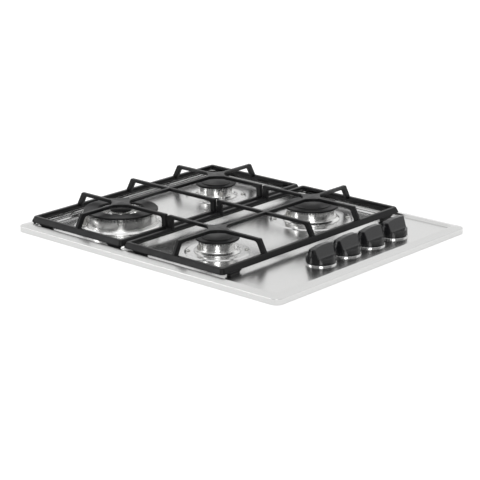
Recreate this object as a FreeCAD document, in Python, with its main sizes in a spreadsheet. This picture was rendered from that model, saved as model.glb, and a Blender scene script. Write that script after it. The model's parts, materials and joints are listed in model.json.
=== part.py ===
"""Four-burner built-in gas cooktop, 60 cm class, in millimetres with +Z up.

X runs along the front edge and Y from the front edge to the back edge.  The origin is the
middle of the under-tray's flat underside, straight below the middle of the steel top.
"""
import FreeCAD, Part
import math
import os
from types import SimpleNamespace

import Sketcher

SHEET = "dims"
FULL_TURN = 360.0
doc = FreeCAD.newDocument("gas_cooktop")

# ---------------------------------------------------------------------------
# Driving dimensions: millimetres, degrees and plain counts
# ---------------------------------------------------------------------------
DIMENSIONS = {
    # steel top; heights are above the worktop that it is let into
    "top_width": 590.0,
    "top_depth": 500.0,
    "top_corner": 14.0,
    "sheet": 0.8,
    "worktop": 52.0,
    "lip_height": 8.8,
    "fold": 1.6,
    "ridge_height": 13.5,
    "ridge_inset": 14.0,
    "ridge_flat": 1.5,
    "panel_height": 9.5,
    "panel_inset": 19.0,
    "well_height": 6.5,
    "well_slope": 5.0,
    "well_left": -268.0,
    "well_right": 152.0,
    "well_half": 218.0,
    "well_corner": 22.0,
    "boss_rise": 1.8,
    "boss_slope": 3.0,
    # seal and under-tray
    "seal_width": 8.0,
    "seal_thick": 3.0,
    "tray_width": 548.0,
    "tray_depth": 460.0,
    "clamp_wide": 24.0,
    "clamp_reach": 16.0,
    "clamp_thick": 2.0,
    "clamp_level": 22.0,
    # grates
    "grate_width": 223.0,
    "grate_depth": 466.0,
    "seam_gap": 2.0,
    "seam_middle": -56.2,
    "frame_low": 15.8,
    "frame_tall": 10.0,
    "frame_thick": 11.0,
    "frame_draft": 4.5,
    "frame_bevel": 5.5,
    "frame_undercut": 7.5,
    "frame_corner": 7.0,
    "finger_top": 48.0,
    "finger_thick": 6.5,
    "finger_tall": 6.0,
    "finger_inset": 15.0,
    "seam_inset": 1.0,
    "seam_leg": 10.5,
    "leg_wide": 8.0,
    "leg_foot": 15.5,
    "hub_reach": 18.25,
    "pad_thick": 1.5,
    "foot_wide": 9.0,
    "foot_long": 24.0,
    "gusset_long": 32.0,
    # burners
    "burner_reach": 112.5,
    "burner_row": 122.0,
    "crown_seat": 14.0,
    "spigot_deep": 6.0,
    "fit_gap": 0.3,
    "wall": 3.0,
    "cup_lip": 3.5,
    "cup_floor": 5.0,
    "holder_low": 24.0,
    "holder_radius": 12.0,
    "inlet_boss": 7.0,
    "jet_radius": 4.0,
    "jet_collar": 5.5,
    "throat": 7.0,
    "throat_wall": 2.5,
    "port_wide": 1.6,
    "port_tall": 3.6,
    "cap_thick": 3.5,
    "cap_rise": 1.0,
    "inner_wall": 38.5,
    "inner_crown": 32.5,
    "inner_neck": 16.5,
    "inner_cap": 18.5,
    "inner_top": 34.0,
    "electrode_out": 3.0,
    "electrode_top": 2.5,
    "lead_top": 40.0,
    "insulator_radius": 3.2,
    "insulator_tail": 2.6,
    "insulator_collar": 0.25,
    "lug_radius": 6.0,
    "notch_radius": 4.6,
    "screw_radius": 2.0,
    "screw_head": 3.5,
    # knobs, taps and gas rail
    "knob_x": 227.5,
    "knob_first": -62.9,
    "knob_pitch": 64.6,
    "knob_radius": 24.7,
    "knob_waist": 24.3,
    "knob_crest": 23.2,
    "knob_base": 10.0,
    "knob_gap": 3.0,
    "knob_top": 31.0,
    "grip_top": 4.3,
    "grip_foot": 9.9,
    "scoop_foot": 13.5,
    "stem_radius": 7.0,
    "bezel_outer": 26.2,
    "bezel_inner": 25.1,
    "bezel_tall": 2.0,
    "shaft_radius": 4.0,
    "running_gap": 0.08,
    "shaft_hole": 6.0,
    "tap_low": 21.0,
    "tap_wide": 26.0,
    "tap_shoulder": 43.0,
    "tap_neck": 9.0,
    "tap_top": 50.0,
    "collar_radius": 8.0,
    "collar_thick": 2.0,
    "collar_gap": 1.5,
    "gas_level": 33.0,
    "rail_wide": 16.0,
    "rail_wall": 1.5,
    "rail_level": 13.0,
    "rail_front": -92.0,
    "rail_back": 205.0,
    "inlet_radius": 10.48,
    "inlet_length": 14.0,
    "inlet_neck": 9.6,
    "inlet_collar": 11.6,
    "inlet_way": 5.0,
    "pipe_radius": 3.0,
    "pipe_bend": 16.0,
    "lead_radius": 1.8,
    "lead_level": 2.8,
}


class Rule:
    """A length made from the sheet's cells: its value now, and its expression."""

    def __init__(self, value, text):
        self.value = float(value)
        self.text = text

    @staticmethod
    def of(thing):
        return thing if isinstance(thing, Rule) else Rule(thing, repr(float(thing)))

    def mix(self, other, value, sign):
        return Rule(value, f"({self.text} {sign} {other.text})")

    def __add__(self, other):
        other = Rule.of(other)
        return self.mix(other, self.value + other.value, "+")

    def __sub__(self, other):
        other = Rule.of(other)
        return self.mix(other, self.value - other.value, "-")

    def __mul__(self, other):
        other = Rule.of(other)
        return self.mix(other, self.value * other.value, "*")

    def __truediv__(self, other):
        other = Rule.of(other)
        return self.mix(other, self.value / other.value, "/")

    def __radd__(self, other):
        return Rule.of(other) + self

    def __rsub__(self, other):
        return Rule.of(other) - self

    def __rmul__(self, other):
        return Rule.of(other) * self

    def __neg__(self):
        return Rule.of(0) - self

    def __float__(self):
        return self.value


sheet = doc.addObject("Spreadsheet::Sheet", SHEET)
for row, (alias, value) in enumerate(DIMENSIONS.items(), start=1):
    sheet.set(f"A{row}", alias)
    sheet.set(f"B{row}", str(value))
    sheet.setAlias(f"B{row}", alias)
doc.recompute()
d = SimpleNamespace(**{a: Rule(v, f"{SHEET}.{a}") for a, v in DIMENSIONS.items()})


# ---------------------------------------------------------------------------
# Building blocks
# ---------------------------------------------------------------------------
def bind(thing, prop, value):
    """Tie one property to the sheet."""
    thing.setExpression(prop, Rule.of(value).text)


def place(thing, x=0, y=0, z=0):
    """Tie a position to the sheet."""
    for axis, value in zip("xyz", (x, y, z)):
        bind(thing, f"Placement.Base.{axis}", value)
    return thing


def block(name, x, y, z):
    """Box between pairs of limits along each axis."""
    box = doc.addObject("Part::Box", name)
    for side, (low, high) in zip(("Length", "Width", "Height"), (x, y, z)):
        bind(box, side, Rule.of(high) - low)
    return place(box, x[0], y[0], z[0])


def rod(name, radius, length, at, towards=(0, 0, 1)):
    """Cylinder that starts at a point and runs along a row axis."""
    cylinder = doc.addObject("Part::Cylinder", name)
    turn = FreeCAD.Rotation(FreeCAD.Vector(0, 0, 1), FreeCAD.Vector(*towards))
    cylinder.Placement = FreeCAD.Placement(FreeCAD.Vector(), turn)
    bind(cylinder, "Radius", radius)
    bind(cylinder, "Height", length)
    return place(cylinder, *at)


def fuse(name, parts):
    """One solid from several that overlap."""
    if len(parts) == 1:
        return parts[0]
    union = doc.addObject("Part::MultiFuse", name)
    union.Shapes = parts
    union.Refine = True
    return union


def cut(name, base, tools):
    """A solid less one or more others."""
    less = doc.addObject("Part::Cut", name)
    less.Base = base
    less.Tool = fuse(name + "_tools", tools)
    less.Refine = True
    return less


def group(name, parts):
    """Separate solids of one kind."""
    bundle = doc.addObject("Part::Compound", name)
    bundle.Links = parts
    return bundle


def plane_of(body, role):
    """One of a body's own origin planes or axes."""
    return next(item for item in body.Origin.OriginFeatures if item.Role == role)


def pin_point(sketch, index, corner, x, y):
    """Dimension a sketch point from the origin."""
    for kind, axis, value in (("DistanceX", -2, x), ("DistanceY", -1, y)):
        value = Rule.of(value)
        if abs(value.value) < 1e-9:
            sketch.addConstraint(Sketcher.Constraint("PointOnObject", index, corner, axis))
            continue
        ends = (-1, 1, index, corner) if value.value > 0 else (index, corner, -1, 1)
        number = sketch.addConstraint(Sketcher.Constraint(kind, *ends, abs(value.value)))
        bind(sketch, f"Constraints[{number}]", value if value.value > 0 else -value)


def outline(sketch, points):
    """Closed run of straight lines, each corner dimensioned."""
    spots = [FreeCAD.Vector(float(x), float(y), 0) for x, y in points]
    for start, end in zip(spots, spots[1:] + spots[:1]):
        sketch.addGeometry(Part.LineSegment(start, end))
    for index, (x, y) in enumerate(points):
        after = (index - 1) % len(points)
        sketch.addConstraint(Sketcher.Constraint("Coincident", after, 2, index, 1))
        pin_point(sketch, index, 1, x, y)


def body_with_sketch(name, plane):
    """Empty body with one sketch on one of its own planes."""
    body = doc.addObject("PartDesign::Body", name)
    sketch = body.newObject("Sketcher::SketchObject", name + "_outline")
    sketch.AttachmentSupport = (plane_of(body, plane), [""])
    sketch.MapMode = "FlatFace"
    return body, sketch


def prism(name, plane, points, thick, at=(0, 0, 0)):
    """Straight-sided plate, thickened both ways from its plane."""
    body, sketch = body_with_sketch(name, plane)
    outline(sketch, points)
    pad = body.newObject("PartDesign::Pad", name + "_pad")
    pad.Profile = sketch
    pad.SideType = "Symmetric"
    bind(pad, "Length", thick)
    return place(body, *at)


def turned(name, points, at=(0, 0, 0)):
    """Round piece from its half section, given as radius and height."""
    body, sketch = body_with_sketch(name, "XZ_Plane")
    outline(sketch, points)
    turn = body.newObject("PartDesign::Revolution", name + "_turn")
    turn.Profile = sketch
    turn.ReferenceAxis = (sketch, ["V_Axis"])
    turn.Angle = FULL_TURN
    return place(body, *at)


def ring_of_slots(body, inner, outer, low, high, wide, count):
    """Cut a circle of radial slots in a turned body."""
    doc.recompute()
    before = body.Shape.Volume
    sketch = body.newObject("Sketcher::SketchObject", f"{body.Name}_slot_{round(float(outer))}")
    sketch.AttachmentSupport = (plane_of(body, "XZ_Plane"), [""])
    sketch.MapMode = "FlatFace"
    outline(sketch, [(inner, low), (outer, low), (outer, high), (inner, high)])
    slot = body.newObject("PartDesign::Pocket", sketch.Name + "_pocket")
    slot.Profile = sketch
    slot.SideType = "Symmetric"
    bind(slot, "Length", wide)
    ring = body.newObject("PartDesign::PolarPattern", sketch.Name + "_ring")
    ring.Originals = [slot]
    ring.Axis = (plane_of(body, "Z_Axis"), [""])
    ring.Angle = FULL_TURN
    ring.Occurrences = count
    body.Tip = ring
    doc.recompute()
    if not body.Shape.Volume < before:
        raise RuntimeError(f"{body.Name}: the slots cut nothing")


def rounded(name, left, right, front, back, radius, level):
    """Sketch of a rectangle with round corners, at a height."""
    sketch = doc.addObject("Sketcher::SketchObject", name)
    x0, x1, y0, y1, r = (float(v) for v in (left, right, front, back, radius))
    sides = [
        ((x0 + r, y0), (x1 - r, y0)),
        ((x1, y0 + r), (x1, y1 - r)),
        ((x1 - r, y1), (x0 + r, y1)),
        ((x0, y1 - r), (x0, y0 + r)),
    ]
    for start, end in sides:
        sketch.addGeometry(Part.LineSegment(FreeCAD.Vector(*start, 0), FreeCAD.Vector(*end, 0)))
    centres = [(x1 - r, y0 + r), (x1 - r, y1 - r), (x0 + r, y1 - r), (x0 + r, y0 + r)]
    for quarter, centre in enumerate(centres):
        circle = Part.Circle(FreeCAD.Vector(*centre, 0), FreeCAD.Vector(0, 0, 1), r)
        start = (quarter - 1) * math.pi / 2
        sketch.addGeometry(Part.ArcOfCircle(circle, start, start + math.pi / 2))
    for side in range(4):
        arc = 4 + side
        sketch.addConstraint(Sketcher.Constraint("Tangent", side, 2, arc, 1))
        sketch.addConstraint(Sketcher.Constraint("Tangent", arc, 2, (side + 1) % 4, 1))
        sketch.addConstraint(Sketcher.Constraint("Horizontal" if side % 2 == 0 else "Vertical", side))
    for arc in range(5, 8):
        sketch.addConstraint(Sketcher.Constraint("Equal", 4, arc))
    number = sketch.addConstraint(Sketcher.Constraint("Radius", 4, r))
    bind(sketch, f"Constraints[{number}]", radius)
    for side, kind, value in ((3, "X", left), (1, "X", right), (0, "Y", front), (2, "Y", back)):
        value = Rule.of(value)
        ends = (-1, 1, side, 1) if value.value > 0 else (side, 1, -1, 1)
        number = sketch.addConstraint(Sketcher.Constraint("Distance" + kind, *ends, abs(value.value)))
        bind(sketch, f"Constraints[{number}]", value if value.value > 0 else -value)
    return place(sketch, 0, 0, level)


def stack(name, rings):
    """Solid through rounded rectangles, each (left, right, front, back, radius, level)."""
    loft = doc.addObject("Part::Loft", name)
    loft.Sections = [rounded(f"{name}_ring_{i}", *ring) for i, ring in enumerate(rings)]
    loft.Solid = True
    loft.Ruled = True
    return loft


def inset_ring(limits, inset, radius, level):
    """A rounded rectangle drawn in from given limits."""
    left, right, front, back = limits
    return (left + inset, right - inset, front + inset, back - inset, radius, level)


def round_route(points, radii):
    """Wire along straight runs joined by tangent arcs."""
    spots = [FreeCAD.Vector(*(float(v) for v in point)) for point in points]
    edges = []
    here = spots[0]
    for before, corner, after, radius in zip(spots, spots[1:], spots[2:], radii):
        back = (before - corner).normalize()
        ahead = (after - corner).normalize()
        half = (math.pi - back.getAngle(ahead)) / 2
        reach = radius * math.tan(half)
        start = corner + back * reach
        end = corner + ahead * reach
        middle = corner + (back + ahead).normalize() * (radius / math.cos(half) - radius)
        edges.append(Part.LineSegment(here, start).toShape())
        edges.append(Part.Arc(start, middle, end).toShape())
        here = end
    edges.append(Part.LineSegment(here, spots[-1]).toShape())
    return Part.Wire(edges)


def limp_radii(points):
    """Largest even bends for a soft lead: 0.45 of the shorter run at each corner."""
    spots = [FreeCAD.Vector(*(float(v) for v in point)) for point in points]
    radii = []
    for before, corner, after in zip(spots, spots[1:], spots[2:]):
        turn = math.pi - (before - corner).getAngle(after - corner)
        run = min((corner - before).Length, (after - corner).Length)
        radii.append(0.45 * run / math.tan(turn / 2))
    return radii


def tube(name, points, radius, radii):
    """Round tube along a route; its volume is compared with section times length."""
    wire = round_route(points, radii)
    start = wire.Edges[0].Vertexes[0].Point
    heading = wire.Edges[0].tangentAt(wire.Edges[0].FirstParameter)
    circle = Part.Wire(Part.Circle(start, heading, float(radius)).toShape())
    solid = wire.makePipeShell([circle], True, False)
    expected = math.pi * float(radius) ** 2 * wire.Length
    if abs(solid.Volume / expected - 1) > 0.01:
        raise RuntimeError(f"{name}: tube volume {solid.Volume:.0f} against {expected:.0f}")
    tightest = min(radii) if radii else 0
    print(f"{name}: length {wire.Length:.0f} mm, tightest bend {tightest:.1f} mm")
    feature = doc.addObject("Part::Feature", name)
    feature.Shape = solid
    return feature


NODES = {}


def node(name, thing):
    """Register a finished sub-part under its own name."""
    thing.Label = name
    NODES[name] = thing
    return thing


# ---------------------------------------------------------------------------
# Places that several sub-parts share
# ---------------------------------------------------------------------------
HALF_WIDTH = d.top_width / 2
HALF_DEPTH = d.top_depth / 2
PANEL_TOP = d.worktop + d.panel_height
PANEL_UNDER = PANEL_TOP - d.sheet
WELL_TOP = d.worktop + d.well_height
BOSS_TOP = WELL_TOP + d.boss_rise
BOSS_UNDER = BOSS_TOP - d.sheet
SEAT = d.worktop + d.crown_seat
TRAY_X = d.tray_width / 2
TRAY_Y = d.tray_depth / 2
INNER_TOP = d.worktop + d.inner_top
LEFT_COLUMN = d.seam_middle - d.burner_reach
RIGHT_COLUMN = d.seam_middle + d.burner_reach


class Burner:
    """Sizes and place of one burner."""

    def __init__(self, name, x, y, cap, crown, top, boss, screws, sparks, ports):
        self.name = name
        self.x = x
        self.y = y
        self.cap = cap
        self.crown = crown
        self.top = d.worktop + top
        self.boss = boss
        self.screws = screws
        self.sparks = sparks
        self.ports = ports
        self.cup_inside = Rule.of(crown) - d.cup_lip
        self.cup_outside = Rule.of(crown) + d.cup_lip

    def round(self, radius, degrees):
        """A point at a radius and plan angle about the burner."""
        angle = math.radians(degrees)
        return (self.x + Rule.of(radius) * math.cos(angle), self.y + Rule.of(radius) * math.sin(angle))

    def spark_place(self):
        """Where the electrode stands."""
        return self.round(Rule.of(self.crown) + d.electrode_out, self.sparks)

    def screw_places(self):
        """The two screws that hold the burner's base under the top."""
        return [self.round(self.screws, degrees) for degrees in (45, 225)]


BURNERS = [
    Burner("front_left", LEFT_COLUMN, -d.burner_row, 64.5, 62.0, 32.7, 84.0, 75.0, 240, 72),
    Burner("rear_left", LEFT_COLUMN, d.burner_row, 37.0, 29.5, 29.0, 55.0, 48.5, 330, 40),
    Burner("front_right", RIGHT_COLUMN, -d.burner_row, 37.0, 29.5, 29.0, 55.0, 48.5, 245, 40),
    Burner("rear_right", RIGHT_COLUMN, d.burner_row, 48.5, 40.5, 30.3, 72.0, 64.0, 236, 54),
]
TRIPLE = BURNERS[0]
TAPS = [(number, d.knob_first + d.knob_pitch * (number - 1)) for number in range(1, 5)]


# ---------------------------------------------------------------------------
# Steel top
# ---------------------------------------------------------------------------
def pressed_skin(name, shift):
    """The top as a solid block, drawn in by a shift on every face."""
    low = d.worktop - 1 if float(shift) else d.worktop
    whole = (-HALF_WIDTH, HALF_WIDTH, -HALF_DEPTH, HALF_DEPTH)
    rim = [
        (0, d.top_corner, low),
        (0, d.top_corner, d.worktop + d.lip_height),
        (d.fold * 0.3, d.top_corner - 0.4, d.worktop + d.lip_height + d.fold * 0.75),
        (d.fold, d.top_corner - 1.2, d.worktop + d.lip_height + d.fold),
        (d.ridge_inset, d.top_corner - 4, d.worktop + d.ridge_height),
    ]
    down = [0] + [shift] * (len(rim) - 1)
    mass = stack(name + "_rim", [
        inset_ring(whole, inset + shift, radius - shift, level - drop)
        for (inset, radius, level), drop in zip(rim, down)
    ])
    recess = stack(name + "_panel", [
        inset_ring(whole, d.panel_inset - shift, 10, PANEL_TOP - shift),
        inset_ring(whole, d.ridge_inset + d.ridge_flat - shift, 12, d.worktop + d.ridge_height - shift),
        inset_ring(whole, d.ridge_inset + d.ridge_flat - shift, 12, d.worktop + d.ridge_height + 1),
    ])
    basin = (d.well_left, d.well_right, -d.well_half, d.well_half)
    well = stack(name + "_well", [
        inset_ring(basin, d.well_slope - shift, d.well_corner - 4, WELL_TOP - shift),
        inset_ring(basin, -shift, d.well_corner, PANEL_TOP - shift),
        inset_ring(basin, -shift, d.well_corner, PANEL_TOP + 1),
    ])
    base = cut(name + "_block", mass, [recess, well])
    bosses = [
        turned(f"{name}_boss_{burner.name}", [
            (0, WELL_TOP - 2),
            (Rule.of(burner.boss) - shift, WELL_TOP - 2),
            (Rule.of(burner.boss) - shift, WELL_TOP - shift),
            (Rule.of(burner.boss) - d.boss_slope - shift, BOSS_TOP - shift),
            (0, BOSS_TOP - shift),
        ], (burner.x, burner.y, 0))
        for burner in BURNERS
    ]
    return fuse(name, [base] + bosses)


def steel_top():
    """Pressed sheet with a raised border, a shallow well and its openings."""
    shell = cut("top_shell", pressed_skin("top_outside", 0), [pressed_skin("top_inside", d.sheet)])
    low = d.worktop
    tall = d.ridge_height + d.worktop - low
    holes = []
    for burner in BURNERS:
        centre = (burner.x, burner.y, low)
        holes.append(rod(f"top_opening_{burner.name}", burner.cup_outside + 0.6, tall, centre))
        spark = burner.spark_place()
        holes.append(rod(f"top_spark_hole_{burner.name}", d.lug_radius + 0.6, tall, (*spark, low)))
        for side, spot in enumerate(burner.screw_places()):
            name = f"top_screw_hole_{burner.name}_{side}"
            holes.append(rod(name, d.screw_radius + 0.2, tall, (*spot, low)))
    for number, y in TAPS:
        holes.append(rod(f"top_shaft_hole_{number}", d.shaft_hole, tall, (d.knob_x, y, low)))
    node("hob_top", cut("hob_top", shell, holes))


def worktop_seal():
    """Foam strip stuck inside the lip, level with its edge."""
    whole = (-HALF_WIDTH, HALF_WIDTH, -HALF_DEPTH, HALF_DEPTH)
    inner = d.sheet + d.seal_width
    strip = stack("seal_outside", [
        inset_ring(whole, d.sheet, d.top_corner - d.sheet, d.worktop + rise)
        for rise in (Rule.of(0), d.seal_thick)
    ])
    middle = stack("seal_inside", [
        inset_ring(whole, inner, d.top_corner - inner, d.worktop + rise)
        for rise in (Rule.of(-1), d.seal_thick + 1)
    ])
    node("worktop_seal", cut("worktop_seal", strip, [middle]))


# ---------------------------------------------------------------------------
# Under-tray and what holds it
# ---------------------------------------------------------------------------
GLAND_X = 140.0
GLAND_LEVEL = 25.0
GLAND_BORE = 4.0
BRACKET_COLUMNS = (-200.0, 0.0, 190.0)
CLAMP_COLUMNS = (-160.0, 100.0)
SCREW_LEVEL = 50.0
CLAMP_SCREW_LEVEL = 34.0


def under_tray():
    """Box of thin steel that closes the hob from below: a floor sheet and four side sheets."""
    node("base_tray", block("base_tray", (-TRAY_X, TRAY_X), (-TRAY_Y, TRAY_Y), (0, d.sheet)))
    walls = []
    for side in (-1, 1):
        ends = sorted((TRAY_Y * side, (TRAY_Y - d.sheet) * side), key=float)
        sheet_wall = block(f"tray_wall_{side + 1}", (-TRAY_X, TRAY_X), ends, (d.sheet, PANEL_UNDER))
        walls.append(cut(f"tray_wall_{side + 1}_drilled", sheet_wall, tray_holes(side)))
    for side in (-1, 1):
        ends = sorted((TRAY_X * side, (TRAY_X - d.sheet) * side), key=float)
        between = (d.sheet - TRAY_Y, TRAY_Y - d.sheet)
        walls.append(block(f"tray_end_{side + 1}", ends, between, (d.sheet, PANEL_UNDER)))
    node("tray_sides", group("tray_sides", walls))


def tray_holes(side):
    """Holes through the front or back side sheet."""
    through = d.sheet + 4
    start = TRAY_Y * side - 2 * side
    holes = []
    for column in BRACKET_COLUMNS:
        name = f"tray_screw_hole_{side + 1}_{int(column) + 300}"
        holes.append(rod(name, 1.7, through, (column, start, SCREW_LEVEL), (0, side, 0)))
    for column in CLAMP_COLUMNS:
        name = f"tray_clamp_hole_{side + 1}_{int(column) + 300}"
        holes.append(rod(name, 2.1, through, (column, start, CLAMP_SCREW_LEVEL), (0, side, 0)))
    if side > 0:
        inlet = (d.knob_x, start, d.rail_level)
        holes.append(rod("tray_inlet_hole", d.inlet_neck + 0.4, through, inlet, (0, 1, 0)))
        gland = (GLAND_X, start, GLAND_LEVEL)
        holes.append(rod("tray_gland_hole", GLAND_BORE + 3.0, through, gland, (0, 1, 0)))
    return holes


def angle_piece(name, column, wide, side, face, legs):
    """L-shaped strip against a wall: a vertical leg and a level leg."""
    half = Rule.of(wide) / 2
    pieces = []
    for number, (near, far, low, high) in enumerate(legs):
        ends = sorted((face + near * side, face + far * side), key=float)
        pieces.append(block(f"{name}_leg_{number}", (column - half, column + half), ends, (low, high)))
    return fuse(name, pieces)


def tray_fixings():
    """Angles inside the tray under the top, clamps outside it, and their screws."""
    thin = Rule.of(1.0)
    brackets, screws, clamps, clamp_screws = [], [], [], []
    for side in (-1, 1):
        inner = (TRAY_Y - d.sheet) * side
        outer = TRAY_Y * side
        for column in BRACKET_COLUMNS:
            name = f"{'front' if side < 0 else 'back'}_{int(column) + 300}"
            angle = angle_piece(f"bracket_{name}", column, 18, side, inner, [
                (Rule.of(-9), Rule.of(0), PANEL_UNDER - thin, PANEL_UNDER),
                (-thin, Rule.of(0), Rule.of(SCREW_LEVEL - 7), PANEL_UNDER),
            ])
            way = (0, side, 0)
            hole = rod(f"bracket_{name}_hole", 1.5, 4, (column, inner - 3 * side, SCREW_LEVEL), way)
            brackets.append(cut(f"bracket_{name}_drilled", angle, [hole]))
            shank = (column, outer - 6 * side, SCREW_LEVEL)
            screws.append(fuse(f"tray_screw_{name}", [
                rod(f"tray_screw_{name}_head", 3.2, 1.8, (column, outer, SCREW_LEVEL), way),
                rod(f"tray_screw_{name}_shank", 1.5, 6, shank, way),
            ]))
        for column in CLAMP_COLUMNS:
            name = f"{'front' if side < 0 else 'back'}_{int(column) + 300}"
            clamp = angle_piece(f"clamp_{name}", column, d.clamp_wide, side, outer, [
                (Rule.of(0), d.clamp_thick, d.clamp_level - d.clamp_thick, Rule.of(CLAMP_SCREW_LEVEL + 9)),
                (Rule.of(0), d.clamp_reach, d.clamp_level - d.clamp_thick, d.clamp_level),
            ])
            ends = sorted((outer - side, outer + (d.clamp_thick + 1) * side), key=float)
            heights = (CLAMP_SCREW_LEVEL - 6, CLAMP_SCREW_LEVEL + 5)
            slot = block(f"clamp_{name}_slot", (column - 2.1, column + 2.1), ends, heights)
            clamps.append(cut(f"clamp_{name}_slotted", clamp, [slot]))
            face = outer + d.clamp_thick * side
            way = (0, side, 0)
            clamp_screws.append(fuse(f"clamp_screw_{name}", [
                rod(f"clamp_screw_{name}_{part}", radius, long, (column, start, CLAMP_SCREW_LEVEL), way)
                for part, radius, long, start in (
                    ("head", 4.2, 2.4, face),
                    ("shank", 1.9, 9, face - 9 * side),
                    ("nut", 3.8, 2.4, inner - 2.4 * side),
                )
            ]))
    node("tray_brackets", group("tray_brackets", brackets))
    node("tray_screws", group("tray_screws", screws))
    node("worktop_clamps", group("worktop_clamps", clamps))
    node("clamp_screws", group("clamp_screws", clamp_screws))


# ---------------------------------------------------------------------------
# Cast grates
# ---------------------------------------------------------------------------
FRAME_LOW = d.worktop + d.frame_low
FRAME_TOP = FRAME_LOW + d.frame_tall
FINGER_TOP = d.worktop + d.finger_top
FINGER_LOW = FINGER_TOP - d.finger_tall
FOOT_LOW = PANEL_TOP + d.pad_thick


def frame_of(name, left, right):
    """Rectangular rim with leaning outer faces and a bevel under its inner edge."""
    limits = (left, right, -d.grate_depth / 2, d.grate_depth / 2)
    outer = stack(name + "_frame_outside", [
        inset_ring(limits, 0, d.frame_corner, FRAME_LOW),
        inset_ring(limits, d.frame_draft, d.frame_corner - 1, FRAME_TOP),
    ])
    window = stack(name + "_frame_window", [
        inset_ring(limits, d.frame_undercut - 1, 2.0, FRAME_LOW - 1),
        inset_ring(limits, d.frame_undercut, 2.0, FRAME_LOW),
        inset_ring(limits, d.frame_thick, 2.0, FRAME_LOW + d.frame_bevel),
        inset_ring(limits, d.frame_thick, 2.0, FRAME_TOP + 1),
    ])
    return cut(name + "_frame", outer, [window])


def leg(end, inward, upright):
    """One leg's outer line, root to top, then its inner line, top to root."""
    root = FRAME_TOP - d.frame_tall / 2
    if upright:
        back = d.seam_inset + d.seam_leg
        outer = [
            (d.seam_inset + 1, FRAME_LOW + 2), (d.seam_inset, FRAME_LOW + 4.5),
            (d.seam_inset + 0.4, FINGER_TOP - 2), (d.seam_inset + 2.4, FINGER_TOP),
        ]
        inner = [(back + 4, FINGER_LOW), (back, FINGER_LOW - 3), (back, FRAME_TOP), (back + 1, root)]
    else:
        back = d.finger_inset + d.leg_wide
        outer = [
            (d.frame_draft / 2, root), (d.frame_draft, FRAME_TOP),
            (d.finger_inset, FINGER_TOP - 2), (d.finger_inset + 2, FINGER_TOP),
        ]
        inner = [
            (back + 4, FINGER_LOW), (back, FINGER_LOW - 3),
            (d.leg_foot + 0.5, FRAME_TOP), (d.leg_foot, root),
        ]
    return [[(end + inset * inward, level) for inset, level in line] for line in (outer, inner)]


def arch(name, plane, low, high, seam_side, at):
    """One bar with its two legs; a leg at the seam stands upright."""
    first_outer, first_inner = leg(low, 1, seam_side < 0)
    last_outer, last_inner = leg(high, -1, seam_side > 0)
    points = first_outer + last_outer[::-1] + last_inner[::-1] + first_inner
    return prism(name, plane, points, d.finger_thick, at)


def foot(name, centre, along_x):
    """Foot under a bar: a gusset as long as the bar's shoulder, then the leg to the pad."""
    x, y = centre
    wide = d.foot_wide / 2
    pieces = []
    for part, long, low, high in (
        ("leg", d.foot_long / 2, FOOT_LOW, FRAME_LOW + 2),
        ("gusset", d.gusset_long / 2, FRAME_LOW - 3, FRAME_LOW + 2),
    ):
        spans = (x - long, x + long), (y - wide, y + wide)
        if not along_x:
            spans = (x - wide, x + wide), (y - long, y + long)
        pieces.append(block(f"{name}_{part}", *spans, (low, high)))
    pad_half = d.foot_long / 2 - 1
    pad_wide = wide - 0.5
    spans = (x - pad_half, x + pad_half), (y - pad_wide, y + pad_wide)
    if not along_x:
        spans = (x - pad_wide, x + pad_wide), (y - pad_half, y + pad_half)
    pad = block(f"{name}_pad", *spans, (PANEL_TOP, FOOT_LOW))
    return pieces, pad


def grate(name, left, right, column, seam_side, feet):
    """Whole cast grate: frame, three cross bars, one long bar, hubs and feet."""
    half = d.grate_depth / 2
    solids = [frame_of(name, left, right)]
    for row, y in (("front", -d.burner_row), ("middle", 0), ("back", d.burner_row)):
        solids.append(arch(f"{name}_{row}_bar", "XZ_Plane", left, right, seam_side, (0, y, 0)))
    solids.append(arch(f"{name}_long_bar", "YZ_Plane", -half, half, 0, (column, 0, 0)))
    tip = d.finger_thick / 2
    hub = [
        (d.hub_reach, -tip), (d.hub_reach, tip), (tip, d.hub_reach), (-tip, d.hub_reach),
        (-d.hub_reach, tip), (-d.hub_reach, -tip), (-tip, -d.hub_reach), (tip, -d.hub_reach),
    ]
    for row, y in (("front", -d.burner_row), ("back", d.burner_row)):
        at = (column, y, FINGER_TOP - d.finger_tall / 2)
        solids.append(prism(f"{name}_{row}_hub", "XY_Plane", hub, d.finger_tall, at))
    pads = []
    for number, (centre, along_x) in enumerate(feet):
        pieces, pad = foot(f"{name}_foot_{number}", centre, along_x)
        solids.extend(pieces)
        pads.append(pad)
    node(name, fuse(name, solids))
    node(name + "_pads", group(name + "_pads", pads))


def grates():
    """The two grates, which meet at the seam."""
    left_end = d.seam_middle - d.seam_gap / 2 - d.grate_width
    right_end = d.seam_middle + d.seam_gap / 2 + d.grate_width
    front = -d.grate_depth / 2 + d.frame_thick / 2 + 2
    side_bar = right_end - d.frame_thick / 2 - 2
    left_feet = [((x, y), True) for x in (-243.5, -80.0) for y in (front, -front)]
    right_feet = [((-17.5, y), True) for y in (front, -front)]
    right_feet += [((side_bar, y), False) for y in (-199.0, 199.0)]
    grate("left_grate", left_end, d.seam_middle - d.seam_gap / 2, LEFT_COLUMN, 1, left_feet)
    grate("right_grate", d.seam_middle + d.seam_gap / 2, right_end, RIGHT_COLUMN, -1, right_feet)


# ---------------------------------------------------------------------------
# Burners
# ---------------------------------------------------------------------------
CUP_LOW = d.worktop - 8
TUBE_BOSS = 20.0


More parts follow.
